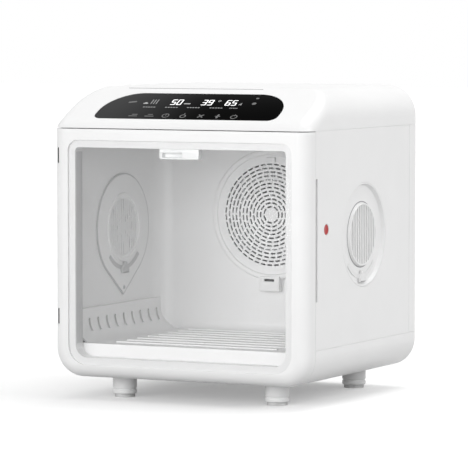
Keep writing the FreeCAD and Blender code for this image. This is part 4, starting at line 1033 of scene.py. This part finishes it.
    def make_keys(self) -> None:
        """Model the row of touch-key marks and the two marks at the ends of the readings."""
        row = self.key_row
        marks = [
            self.bar("air_low", (-0.0895, row - 0.0025), 0.0150, 0.0020),
            self.bar("air_high", (-0.0880, row + 0.0025), 0.0100, 0.0020),
            self.bar("heat_low", (-0.0610, row - 0.0025), 0.0160, 0.0022),
            self.bar("heat_high", (-0.0610, row + 0.0030), 0.0090, 0.0016),
            self.hoop("timer_ring", (-0.0335, row), 0.0062, 0.0016),
            self.bar("timer_hand", (-0.0335, row + 0.0020), 0.0044, 0.0012, 90),
            self.hoop("lamp_ring", (-0.0032, row - 0.0012), 0.0052, 0.0018),
            self.bar("lamp_ray", (-0.0032, row + 0.0068), 0.0036, 0.0014, 90),
            self.bar("fan_blade_a", (0.0270, row), 0.0125, 0.0022, 45),
            self.bar("fan_blade_b", (0.0270, row), 0.0125, 0.0022, 135),
            self.bar("less_mark", (0.0560, row), 0.0036, 0.0120, 0),
            self.bar("more_mark", (0.0560, row), 0.0090, 0.0018, 0),
            self.hoop("power_ring", (0.0840, row - 0.0010), 0.0058, 0.0016),
            self.bar("power_line", (0.0840, row + 0.0040), 0.0050, 0.0014, 90),
            self.bar("left_mark", (-0.1100, self.reading_row + 0.0075), 0.0140, 0.0042, 12),
            self.bar("right_mark", (0.1000, self.reading_row + 0.0070), 0.0070, 0.0070),
            self.bar("right_dot", (0.0990, self.reading_row + 0.0235), 0.0050, 0.0040),
        ]
        self.finish_marks("lit_keys", LIT_FAINT, marks)


@dataclass
class WindowDoor:
    """Clear pane and frosted catch of the door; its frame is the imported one."""

    pane_corner_top: float = 0.017
    pane_corner_bottom: float = 0.031
    pane_edge: float = 0.0008
    pane_lift: float = 0.0003
    rest_left: float = -0.029
    rest_right: float = 0.005
    rest_low: float = 0.0025
    rest_high: float = 0.010
    rest_depth: float = 0.0085
    catch_corner: float = 0.0035
    catch_edge: float = 0.0007
    window_half: float = 0.181
    seal: float = 0.0006
    seal_lip: float = 0.001
    seal_taper: float = 0.99
    seal_edge: float = 0.0002
    seal_front: float = -0.1995
    seal_back: float = -0.1810
    seal_low: float = 0.087
    seal_high: float = 0.385

    @property
    def seal_middle(self) -> float:
        """Height of the middle of the shade strips."""
        return (self.seal_low + self.seal_high) / 2

    def build(self) -> None:
        """Make the door's own pieces."""
        self.make_pane()
        self.make_catch()
        self.make_seals()

    def make_seals(self) -> None:
        """Model the grey strip of painted shade along one upright of the window's reveal and mirror it to the
        other.
        """
        # The strips are painted shade: grey sheets that darken the reveal where shade falls.
        right = Workpiece.block(
            "right_window_seal", (self.window_half - self.seal, self.seal_front, self.seal_low),
            (self.window_half, self.seal_back, self.seal_high))
        right.draw(facing((0, 1, 0)), (0, self.seal_lip, 0), (1, 1, self.seal_taper), (0, 0, self.seal_middle))
        right.soften(self.seal_edge, 2)
        for piece in (right, right.mirrored("left_window_seal")):
            piece.settle(PALE_GREY, "grey_rubber", body=Body.DOOR)

    def make_pane(self) -> None:
        """Model the pane with rounded corners and a polished edge, just clear of its seat."""
        low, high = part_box("door_window")
        pane = Workpiece.block("window_pane", low, (high[0], high[1] - self.pane_lift, high[2]))
        middle = (low[2] + high[2]) / 2
        pane.bevel(self.pane_corner_top, 12, (0, 1, 0), lambda place: place.z > middle)
        pane.bevel(self.pane_corner_bottom, 16, (0, 1, 0), lambda place: place.z < low[2] + NEAR)
        pane.soften(self.pane_edge, 3, where=lambda place: place.y < low[1] + NEAR)
        pane.settle(CLEAR_PANE, "clear_pane", "door_window", body=Body.DOOR)

    def make_catch(self) -> None:
        """Model the catch with rounded lower corners and an open finger rest."""
        low, high = (Vector(corner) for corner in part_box("door_catch"))
        catch = Workpiece.block("window_catch", low, high)
        catch.bevel(self.catch_corner, 6, (0, 1, 0), lambda place: place.z < low.z + NEAR)
        catch.recess((self.rest_left, self.rest_right), (low.z + self.rest_low, low.z + self.rest_high),
                     self.rest_depth)
        catch.soften(self.catch_edge, 3)
        catch.settle(FROSTED, "frosted_catch", "door_catch", body=Body.DOOR)


@dataclass
class SideVent:
    """Dished vent of a side wall: bezel, slats, lever knobs and the cover inside the chamber."""

    middle: Point = (0.0, -0.004, 0.257)
    outer_face: float = 0.220
    wall_inner: float = 0.217
    floor: float = 0.2145
    back: float = 0.2123
    drum_face: float = 0.2185
    skin: float = 0.0022
    radius: float = 0.0807
    lip: float = 0.0022
    bezel_edge: float = 0.0005
    floor_radius: float = 0.076
    flange: float = 0.005
    drum: float = 0.050
    drum_draft: float = 0.0015
    grid: float = 0.046
    slat_count: int = 13
    slat_slot: float = 0.0034
    slat_edge: float = 0.0003
    slat_sunk: float = 0.0002
    slat_lap: float = 0.0004
    blade_depth: float = 0.0011
    blade_tilt: float = 0.0005
    slot_reach: float = 0.065
    slot_half: float = 0.0022
    slot_angle: float = 24.44
    slot_over: float = 0.001
    slot_steps: int = 24
    shield_lap: float = 0.0012
    shield_angle: float = 46.94
    knob_top: float = 0.056
    knob_waist: float = 0.061
    knob_shoulder: float = 0.066
    knob_bottom: float = 0.074
    knob_neck: float = 0.009
    knob_width: float = 0.022
    knob_corner: float = 0.002
    knob_edge: float = 0.0009
    knob_band: float = 0.0005
    cover_radius: float = 0.084
    cover_tip: float = 0.106
    cover_face: float = 0.203
    cover_back: float = 0.206
    cover_edge: float = 0.0006
    cover_ring: float = 0.005
    cover_ring_rise: float = 0.002
    seal_width: float = 0.0024
    seal_rise: float = 0.0022
    line_width: float = 0.0016
    line_rise: float = 0.0003
    sides: int = 112

    def build(self) -> None:
        """Model the right vent's pieces and mirror each to the left."""
        self.place(self.make_bezel(), "vent_bezel", WHITE_GLOSS, "white_casing")
        self.place(self.make_cover(), "vent_cover", WHITE_LINER, "white_liner")
        self.place(self.make_blades(), "cover_blades", THIN_BLADE, "white_liner", stands=False)
        # The cover outline and the drum line are grey rings of painted shade, put where shade falls round the
        # cover and the drum.
        self.place(self.make_seal(), "cover_seal", PALE_GREY, "grey_rubber", stands=False)
        self.place(self.make_drum_line(), "drum_line", GREY_SEAL_AND_SHADE, "grey_rubber", stands=False)
        self.place(self.make_knob(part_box("right_vent_knob"), True), "vent_knob", SOFT_WHITE, "white_casing",
                   turning=True)
        self.place(self.make_knob(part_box("right_vent_inner_knob"), False), "vent_inner_knob", PALE_GREY,
                   "white_liner", turning=True)

    def place(self, right: Workpiece, node: str, finish: Finish, slot: str, turning: bool = False,
              stands: bool = True) -> None:
        """Settle a right-hand piece and its mirror image.

        Args:
            right: The right-hand piece.
            node: The end of the names of the nodes that they stand for.
            finish: What they are made of.
            slot: The record's material slot.
            turning: Whether they turn with the shutters.
            stands: Whether they stand for the nodes of that name.
        """
        left = right.mirrored(f"left_{node}_form")
        right.item.name = f"right_{node}_form"
        bodies = (Body.RIGHT_SHUTTER, Body.LEFT_SHUTTER) if turning else (Body.CABINET, Body.CABINET)
        for piece, side, body in zip((right, left), (Side.RIGHT, Side.LEFT), bodies):
            nodes = (f"{side.word}_{node}",) if stands else ()
            piece.settle(finish, slot, *nodes, body=body)

    def arc(self, name: str, half: float, low: float, high: float, angle: float) -> Workpiece:
        """Spin a flat section along the path of the lever's stem.

        Args:
            name: The arc's name.
            half: Half its width.
            low: Lowest X.
            high: Highest X.
            angle: Half its angle, in degrees.

        Returns:
            The arc.
        """
        select_only()
        bpy.ops.mesh.primitive_plane_add(
            size=1.0, location=((low + high) / 2, 0.0, -self.slot_reach), rotation=(math.pi / 2, 0.0, 0.0))
        bpy.context.active_object.scale = (high - low, 2 * half, 1.0)
        arc = Workpiece(name).move(turn=(math.radians(angle), 0.0, 0.0))
        with arc.editing():
            bpy.ops.mesh.select_all(action="SELECT")
            bpy.ops.mesh.spin(
                steps=self.slot_steps, angle=math.radians(2 * angle), center=(0, 0, 0), axis=(1, 0, 0))
            arc.clean()
        return arc.move((0.0, self.middle[1], self.middle[2]))

    def cut_slot(self, piece: Workpiece, low: float, high: float) -> None:
        """Cut the slot of the lever's stem right through a piece.

        Args:
            piece: The piece.
            low: Lowest X of its wall.
            high: Highest X of its wall.
        """
        piece.carve(self.arc(
            "stem_slot", self.slot_half, low - self.slot_over, high + self.slot_over, self.slot_angle))

    def make_bezel(self) -> Workpiece:
        """Model the dished ring, its slats and the slot of the lever.

        Returns:
            The bezel.
        """
        inner = self.drum - self.drum_draft - self.skin
        bezel = Workpiece.turned("bezel", self.middle, Axis.X, (
            (self.grid, self.drum_face - self.skin), (inner, self.drum_face - self.skin), (inner, self.back),
            (self.radius + self.flange, self.back), (self.radius + self.flange, self.wall_inner),
            (self.radius, self.wall_inner), (self.radius, self.outer_face),
            (self.radius - self.lip, self.outer_face), (self.floor_radius, self.floor),
            (self.drum, self.floor), (self.drum - self.drum_draft, self.drum_face), (self.grid, self.drum_face),
        ), self.sides, hollow=True)
        bezel.soften(self.bezel_edge, 3, TURNED_ANGLE)
        self.cut_slot(bezel, self.back, self.floor)
        bezel.join(*self.make_slats(self.drum_face - self.skin, self.drum_face - self.slat_sunk))
        return bezel

    def make_slats(self, low: float, high: float, tilt: float = 0.0) -> list[Workpiece]:
        """Model one upright slat and copy it across the round opening.

        Args:
            low: Lowest X of the slats.
            high: Highest X of the slats.
            tilt: How far the front edge of the low face is set back.

        Returns:
            The slats.
        """
        pitch = 2 * self.grid / (self.slat_count + 1)
        half = (pitch - self.slat_slot) / 2
        slat = Workpiece.block("slat", (low, -half, -0.5), (high, half, 0.5))
        if tilt:
            upright = running((0, 0, 1))
            with slat.editing():
                slat.pick(Pick.EDGE, lambda edge: upright(edge) and edge_middle(edge).y < 0
                          and edge_middle(edge).x < low + NEAR)
                bpy.ops.transform.translate(value=(tilt, 0, 0))
        slat.soften(self.slat_edge, 3, where=lambda place: abs(place.z) < 0.4)
        slats = []
        for index in range(self.slat_count + 1):
            shift = (index - self.slat_count / 2) * pitch
            length = 2 * math.sqrt(self.grid ** 2 - (abs(shift) - half) ** 2) + self.slat_lap
            slats.append(slat.copy(f"slat_{index}").move(
                (0, self.middle[1] + shift, self.middle[2]), scale=(1, 1, length)))
        slat.discard()
        return slats

    def make_knob(self, span: tuple[Sequence[float], Sequence[float]], outward: bool) -> Workpiece:
        """Model a bottle-shaped grip on the band that hides the lever's slot.

        Args:
            span: Lowest and highest corner of the node.
            outward: Whether its grip faces out of the cabinet.

        Returns:
            The knob.
        """
        low, high = span[0][0], span[1][0]
        grip_low, grip_high = (low + self.knob_band, high) if outward else (low, high - self.knob_band)
        y, z = self.middle[1], self.middle[2]
        knob = Workpiece.block(
            "knob", (grip_low, y - self.knob_width / 2, z - self.knob_bottom),
            (grip_high, y + self.knob_width / 2, z - self.knob_shoulder))
        up = facing((0, 0, 1))
        knob.draw(up, (0, 0, self.knob_shoulder - self.knob_waist), (1, self.knob_neck / self.knob_width, 1),
                  (0, y, 0))
        knob.draw(up, (0, 0, self.knob_waist - self.knob_top))
        knob.bevel(self.knob_corner, 5, (1, 0, 0))
        face = grip_high if outward else grip_low
        knob.soften(self.knob_edge, 3, where=lambda place: abs(place.x - face) < NEAR)
        band_low, band_high = (low, grip_low) if outward else (grip_high, high)
        knob.join(self.arc(
            "slot_band", self.slot_half + self.shield_lap, band_low, band_high, self.shield_angle))
        return knob

    def make_cover(self) -> Workpiece:
        """Model the drop-shaped cover with its raised ring and slats.

        Returns:
            The cover.
        """
        cover = Workpiece.turned("cover", self.middle, Axis.X, (
            (self.grid, self.cover_back), (self.cover_radius, self.cover_back),
            (self.cover_radius, self.cover_face), (self.drum + self.cover_ring, self.cover_face),
            (self.drum + self.cover_ring, self.cover_face - self.cover_ring_rise),
            (self.drum, self.cover_face - self.cover_ring_rise), (self.drum, self.cover_face),
            (self.grid, self.cover_face),
        ), self.sides, hollow=True)
        self.draw_point(cover, self.cover_radius, self.cover_tip)
        cover.soften(self.cover_edge, 3, 30.0, lambda place: place.x < self.cover_face + NEAR)
        self.cut_slot(cover, self.cover_face, self.cover_back)
        return cover

    def make_blades(self) -> Workpiece:
        """Model the cover's blades, tilted towards the door.

        Returns:
            The blades.
        """
        first, *others = self.make_slats(self.cover_face, self.cover_face + self.blade_depth, self.blade_tilt)
        first.join(*others)
        return first

    def draw_point(self, piece: Workpiece, radius: float, reach: float) -> None:
        """Draw the lower part of a round outline down to a point, along its tangents.

        Args:
            piece: The round piece.
            radius: Radius of its outline.
            reach: Distance from the middle to the point.
        """
        middle = Vector(self.middle).yz
        tangent = math.acos(radius / reach)
        step = math.tau / self.sides
        with piece.editing():
            for index in range(-int(tangent / step), int(tangent / step) + 1):
                out = Vector((math.sin(index * step), -math.cos(index * step)))
                rim = middle + out * radius
                pull = out * (radius / math.cos(tangent - abs(index * step)) - radius)
                piece.pick(Pick.VERT, lambda vertex: (vertex.co.yz - rim).length < NEAR)
                bpy.ops.transform.translate(value=(0, *pull))

    def make_seal(self) -> Workpiece:
        """Model the thin grey outline of painted shade that shows around the cover.

        Returns:
            The outline.
        """
        face = self.cover_back - self.seal_rise
        outer, inner = self.cover_radius + self.seal_width, self.cover_radius - 2 * self.seal_width
        seal = Workpiece.turned("seal", self.middle, Axis.X, (
            (inner, self.cover_back), (outer, self.cover_back), (outer, face), (inner, face),
        ), self.sides, hollow=True)
        self.draw_point(seal, outer, outer * self.cover_tip / self.cover_radius)
        return seal

    def make_drum_line(self) -> Workpiece:
        """Model the thin grey line of painted shade around the foot of the drum.

        Returns:
            The line.
        """
        low, high = self.floor - self.line_rise, self.floor + self.line_rise
        return Workpiece.turned("drum_line", self.middle, Axis.X, (
            (self.drum, low), (self.drum + self.line_width, low), (self.drum + self.line_width, high),
            (self.drum, high)), self.sides, hollow=True)


@dataclass
class Feet:
    """Four turned feet with a ring near the bottom."""

    sides: int = 72
    edge: float = 0.0005
    plain_from: float = 0.034
    profile: tuple[tuple[float, float], ...] = (
        (0.0172, 0.0050), (0.0190, 0.0066), (0.0190, 0.0112), (0.0176, 0.0124), (0.0176, 0.0134),
        (0.0190, 0.0146), (0.0190, 0.0350),
    )

    def build(self) -> None:
        """Turn one foot and copy it to the four corners."""
        foot = Workpiece.turned("foot", (0, 0, 0), Axis.Z, self.profile, self.sides)
        foot.soften(self.edge, 3, TURNED_ANGLE, lambda place: place.z < self.plain_from)
        for end in ("front", "rear"):
            for side in Side:
                node = f"{end}_{side.word}_foot"
                low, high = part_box(node)
                place = ((low[0] + high[0]) / 2, (low[1] + high[1]) / 2, 0.0)
                foot.copy(f"{node}_turned").move(place).settle(WHITE_GLOSS, "white_casing", node)
        foot.discard()


@dataclass
class ReleaseButton:
    """Round red button with a dished face and a thin rim."""

    radius: float = 0.008
    flange_radius: float = 0.010
    flange: float = 0.0014
    slope: float = 0.0006
    rim: float = 0.0014
    dish: float = 0.0008
    bowl: tuple[tuple[float, float], ...] = ((0.6, 0.7), (0.25, 1.0))
    edge: float = 0.0002
    sides: int = 48

    def build(self) -> None:
        """Turn the button."""
        low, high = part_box("release_button")
        centre = (0.0, (low[1] + high[1]) / 2, (low[2] + high[2]) / 2)
        back, face = low[0], high[0]
        button = Workpiece.turned("dished_button", centre, Axis.X, (
            (self.flange_radius, back), (self.flange_radius, back + self.flange),
            (self.radius, back + self.flange), (self.radius, face - self.slope),
            (self.radius - self.slope, face), (self.radius - self.rim, face),
            *((self.radius * out, face - self.dish * deep) for out, deep in self.bowl),
        ), self.sides)
        button.soften(self.edge, 2, TURNED_ANGLE)
        button.settle(RED_GLOSS, "red_button", "release_button", body=Body.BUTTON)


@dataclass(frozen=True)
class CrossScrew:
    """Pan-head screw with a cross recess, modelled with its head towards +Z."""

    radius: float
    head: float
    shank: float
    length: float
    dome: tuple[tuple[float, float], ...] = ((1.0, 0.0), (1.0, 0.45), (0.88, 0.8), (0.62, 1.0))
    cross_half: float = 0.13
    cross_depth: float = 0.55
    cross_taper: float = 0.9
    cross_from: float = 0.95
    sides: int = 40

    def model(self, name: str) -> Workpiece:
        """Turn the screw and sink the cross into its head.

        Args:
            name: The screw's name.

        Returns:
            The screw.
        """
        screw = Workpiece.turned(name, (0, 0, 0), Axis.Z, (
            (self.shank, -self.length), (self.shank, 0.0),
            *((self.radius * out, self.head * up) for out, up in self.dome),
        ), self.sides)
        half = self.radius * self.cross_half
        for way in ((1, 0, 0), (0, 1, 0)):
            for sign in (-1, 1):
                screw.score(Vector(way) * half * sign, way)
        up = facing((0, 0, 1), 0.99)

        def in_cross(face: bmesh.types.BMFace) -> bool:
            """Whether a face of the head's top lies in the cross."""
            place = face.calc_center_median()
            return (up(face) and place.z > self.head * self.cross_from
                    and min(abs(place.x), abs(place.y)) < half)

        taper = self.cross_taper
        screw.draw(in_cross, (0, 0, -self.head * self.cross_depth), (taper, taper, 1))
        return screw


@dataclass
class FanGrille:
    """Rounded rim of the round grille, with the clip below it and the tab above it."""

    centre: Point = (0.0, 0.0, 0.275)
    rim_edge: float = 0.0030
    rim_width: float = 0.009
    rim_sides: int = 144
    slot_middle: float = 0.170
    slot_half_width: float = 0.009
    slot_half_height: float = 0.002
    slot_depth: float = 0.007
    pad_rest: float = 0.0022
    clip_top: float = 0.176
    clip_half: float = 0.018
    tab_front: float = 0.115
    tab_half: float = 0.008
    tab_back: float = 0.119
    tab_low: float = 0.3596
    clip_edge: float = 0.0010
    tab_edge: float = 0.0012
    pad_edge: float = 0.0006

    def build(self) -> None:
        """Make the rim, the clip and the tab."""
        low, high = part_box("grille_rim")
        outer = (high[0] - low[0]) / 2
        inner = outer - self.rim_width
        rim = Workpiece.turned("rounded_rim", self.centre, Axis.Y, (
            (inner, high[1]), (outer, high[1]), (outer, low[1]), (inner, low[1]),
        ), self.rim_sides, hollow=True)
        rim.soften(self.rim_edge, 6, where=lambda place: place.y < low[1] + NEAR)
        rim.settle(WHITE_LINER, "white_liner", "grille_rim")
        self.make_clips()

    def make_clips(self) -> None:
        """Model the box-shaped clip with its slot, a black block of painted shade deep in the slot, and the small
        tab.
        """
        low, high = (Vector(corner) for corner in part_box("grille_clips"))
        clip = Workpiece.block(
            "grille_clip_forms", (-self.clip_half, low.y, low.z), (self.clip_half, high.y, self.clip_top))
        slot_low, slot_high = self.slot_middle - self.slot_half_height, self.slot_middle + self.slot_half_height
        clip.recess((-self.slot_half_width, self.slot_half_width), (slot_low, slot_high), self.slot_depth)
        clip.soften(self.clip_edge, 3, where=lambda place: place.y < high.y - NEAR)
        tab = Workpiece.block(
            "grille_tab", (-self.tab_half, self.tab_front, self.tab_low), (self.tab_half, self.tab_back, high.z))
        tab.soften(self.tab_edge, 3, where=lambda place: place.y < self.tab_back - NEAR)
        clip.join(tab)
        clip.settle(WHITE_LINER, "white_liner", "grille_clips")
        # The black block in the slot is painted shade that darkens the slot.
        slot_shade = Workpiece.block(
            "clip_pad", (-self.slot_half_width, low.y + self.pad_rest, slot_low),
            (self.slot_half_width, low.y + self.slot_depth, slot_high))
        slot_shade.soften(self.pad_edge, 2, where=lambda place: place.y < low.y + self.pad_rest + NEAR)
        slot_shade.settle(BLACK_MATT, "black_hinge")


@dataclass
class ChamberCorners:
    """Soft rear corners of the chamber, and the sill in front of its tray."""

    wall: float = 0.206
    rear: float = 0.122
    deck: float = 0.080
    tray: float = 0.086
    ceiling: float = 0.410
    radius: float = 0.030
    tray_half: float = 0.163
    tray_radius: float = 0.014
    sides: int = 160
    sunk: float = 0.0003
    sill_front: float = -0.1776
    sill_back: float = -0.1668
    sill_edge: float = 0.0012

    def build(self) -> None:
        """Make an upright cove on each side, one behind the tray, and the sill."""
        x, y = self.wall - self.radius, self.rear - self.radius
        right = Workpiece.block(
            "right_corner_cove", (x, y, self.deck), (self.wall + self.sunk, self.rear + self.sunk, self.ceiling))
        self.hollow(right, (x, y, 0.0), Axis.Z, self.radius)
        left = right.mirrored("left_corner_cove")
        y, z = self.rear - self.tray_radius, self.tray + self.tray_radius
        low = Workpiece.block(
            "tray_cove", (-self.tray_half, y, self.tray - self.sunk), (self.tray_half, self.rear + self.sunk, z))
        self.hollow(low, (0.0, y, z), Axis.X, self.tray_radius)
        sill = Workpiece.block(
            "mouth_sill", (self.sunk - self.wall, self.sill_front, self.deck - self.sunk),
            (self.wall - self.sunk, self.sill_back, self.tray + self.sunk))
        sill.soften(self.sill_edge, 3, where=lambda place: place.z > self.tray)
        for piece in (right, left, low, sill):
            piece.settle(WHITE_LINER, "white_liner")

    def hollow(self, cove: Workpiece, base: Point, axis: Axis, radius: float) -> None:
        """Take a round bar, given by a point on its axis and its radius, out of a square one."""
        ends = ((radius, -1.0), (radius, 1.0))
        cove.carve(Workpiece.turned("round_bar", base, axis, ends, self.sides))


@dataclass
class HingeCaps:
    """Black caps in the two slots of the door's hinge edge."""

    left: float = -0.2118
    right: float = -0.2090
    front: float = -0.2026
    back: float = -0.1960
    half_height: float = 0.0118
    heights: tuple[float, float] = (0.379, 0.129)
    slope: float = 0.0015
    corner: float = 0.0010

    def build(self) -> None:
        """Model one cap and copy it to both hinges."""
        cap = Workpiece.block(
            "hinge_cap", (self.left, self.front, -self.half_height), (self.right, self.back, self.half_height))
        cap.bevel(self.slope, 4, (0, 0, 1),
                  lambda place: place.x < self.left + NEAR and place.y < self.front + NEAR)
        cap.soften(self.corner, 4, where=lambda place: abs(place.z) > self.half_height - NEAR)
        for name, height in zip(("upper", "lower"), self.heights):
            piece = cap.copy(f"{name}_hinge_cap").move((0.0, 0.0, height))
            piece.settle(BLACK_MATT, "black_hinge", body=Body.DOOR)
        cap.discard()


@dataclass
class Fasteners:
    """Cross-head screws of the rear cover and of the two inner vent covers."""

    pattern: CrossScrew = CrossScrew(radius=0.00295, head=0.0016, shank=0.00135, length=0.006)
    vent_place: Point = (0.203, -0.004, 0.160)
    rear_side: float = 0.150
    rear_seat: float = 0.2034
    rear_heights: tuple[float, float] = (0.121, 0.392)

    def build(self) -> None:
        """Model one screw and copy it to every place."""
        screw = self.pattern.model("screw")
        x, y, z = self.vent_place
        for side in Side:
            piece = screw.copy(f"{side.word}_cover_screw")
            piece.move((side.value * x, y, z), (0.0, -side.value * math.pi / 2, 0.0))
            piece.settle(PLATED_STEEL, "steel", f"{side.word}_vent_screw")
        rear = [
            screw.copy("rear_screws").move((side.value * self.rear_side, self.rear_seat, height), Axis.Y.value)
            for side in Side for height in self.rear_heights
        ]
        rear[0].join(*rear[1:])
        rear[0].settle(PLATED_STEEL, "steel", "rear_cover_screws")
        screw.discard()


# Studio

@dataclass(frozen=True)
class SoftLamp:
    """Square studio lamp aimed at a point."""

    name: str
    place: Point
    target: Point
    size: float
    watts: float

    def build(self) -> None:
        """Add the lamp to the scene."""
        data = bpy.data.lights.new(self.name, "AREA")
        data.energy = self.watts
        data.size = self.size
        lamp = bpy.data.objects.new(self.name, data)
        lamp.location = self.place
        lamp.rotation_euler = (Vector(self.target) - Vector(self.place)).to_track_quat("-Z", "Y").to_euler()
        bpy.context.scene.collection.objects.link(lamp)


@dataclass
class Studio:
    """Pale floor, soft lamps and the camera at the photo's viewing angle."""

    camera_place: Point = (2.4328, -4.8516, 0.601)
    camera_pitch: float = -3.69
    camera_yaw: float = 26.7
    lens: float = 265.2
    sensor: float = 36.0
    sight: float = 100.0
    floor_size: float = 40.0
    floor_roughness: float = 0.9
    floor_shine: float = 0.1
    floor_tone: float = 0.9
    floor_bounce: float = 0.42
    floor_lift: float = 0.26
    far_lift: float = 0.62
    near: float = 0.7
    far: float = 2.2
    sky_strength: float = 0.56
    lamps: tuple[SoftLamp, ...] = (
        SoftLamp("key_lamp", (-0.9, -4.1, 0.7), (0.0, 0.0, 0.22), 2.4, 80.0),
        SoftLamp("fill_lamp", (1.7, -3.8, 0.9), (-0.1, 0.0, 0.25), 2.4, 40.0),
        SoftLamp("side_lamp", (3.6, 0.5, 2.0), (0.2, 0.0, 0.3), 2.2, 47.0),
        SoftLamp("top_lamp", (0.4, 0.9, 2.9), (0.0, 0.0, 0.4), 2.0, 27.0),
    )

    def build(self) -> None:
        """Make the whole studio."""
        self.make_camera()
        self.make_floor()
        self.make_sky()
        for lamp in self.lamps:
            lamp.build()
        bpy.context.scene.view_settings.view_transform = "Standard"

    def make_camera(self) -> None:
        """Place the long-lens camera."""
        data = bpy.data.cameras.new("photo_camera")
        data.lens = self.lens
        data.sensor_width = self.sensor
        data.clip_end = self.sight
        camera = bpy.data.objects.new("photo_camera", data)
        camera.location = self.camera_place
        camera.rotation_euler = (math.radians(90 + self.camera_pitch), 0.0, math.radians(self.camera_yaw))
        bpy.context.scene.collection.objects.link(camera)
        bpy.context.scene.camera = camera

    def make_floor(self) -> None:
        """Lay a floor that looks white to the camera and still takes shadows."""
        bpy.ops.mesh.primitive_plane_add(size=self.floor_size)
        floor = bpy.context.active_object
        floor.name = "studio_floor"
        shader = Shader("studio_paper")
        seen = self.seen(shader)
        reach = shader.add("VectorMath", {0: shader.coords}, operation="LENGTH").outputs["Value"]
        lift = shader.spread(reach, self.floor_lift, self.far_lift, self.near, self.far)
        shown = shader.add("Math", {0: lift, 1: seen}, operation="MULTIPLY").outputs["Value"]
        shader.set(
            Base_Color=shader.spread(seen, self.floor_bounce, self.floor_tone), Roughness=self.floor_roughness,
            Specular_IOR_Level=self.floor_shine, Emission_Color=WHITE, Emission_Strength=shown)
        floor.data.materials.append(shader.material)

    @staticmethod
    def seen(nodes: Nodes) -> bpy.types.NodeSocket:
        """Tell rays from the camera, from gloss and through glass from other rays.

        Args:
            nodes: The nodes that ask.

        Returns:
            1 for those rays and 0 for others.
        """
        paths = nodes.add("LightPath", {})
        total = paths.outputs["Is Camera Ray"]
        for name in ("Is Glossy Ray", "Is Transmission Ray"):
            both = nodes.add("Math", {0: total, 1: paths.outputs[name]}, operation="MAXIMUM")
            total = both.outputs["Value"]
        return total

    def make_sky(self) -> None:
        """White surroundings that light the scene softly and look white themselves."""
        world = bpy.data.worlds.new("studio_sky")
        bpy.context.scene.world = world
        world.use_nodes = True
        nodes = Nodes(world.node_tree)
        sky = nodes.tree.nodes["Background"]
        nodes.fill(sky.inputs["Color"], WHITE)
        nodes.fill(sky.inputs["Strength"], nodes.spread(self.seen(nodes), self.sky_strength, 1.0))


def main() -> None:
    """Dress the frame, build each sub-assembly and set up the studio."""
    logging.basicConfig(level=logging.INFO, format="%(message)s")
    dress_frame()
    for assembly in (
        ControlPanel(), WindowDoor(), HingeCaps(), SideVent(), Feet(), ReleaseButton(), FanGrille(),
        ChamberCorners(), Fasteners(), Studio(),
    ):
        assembly.build()


if __name__ == "__main__":
    main()
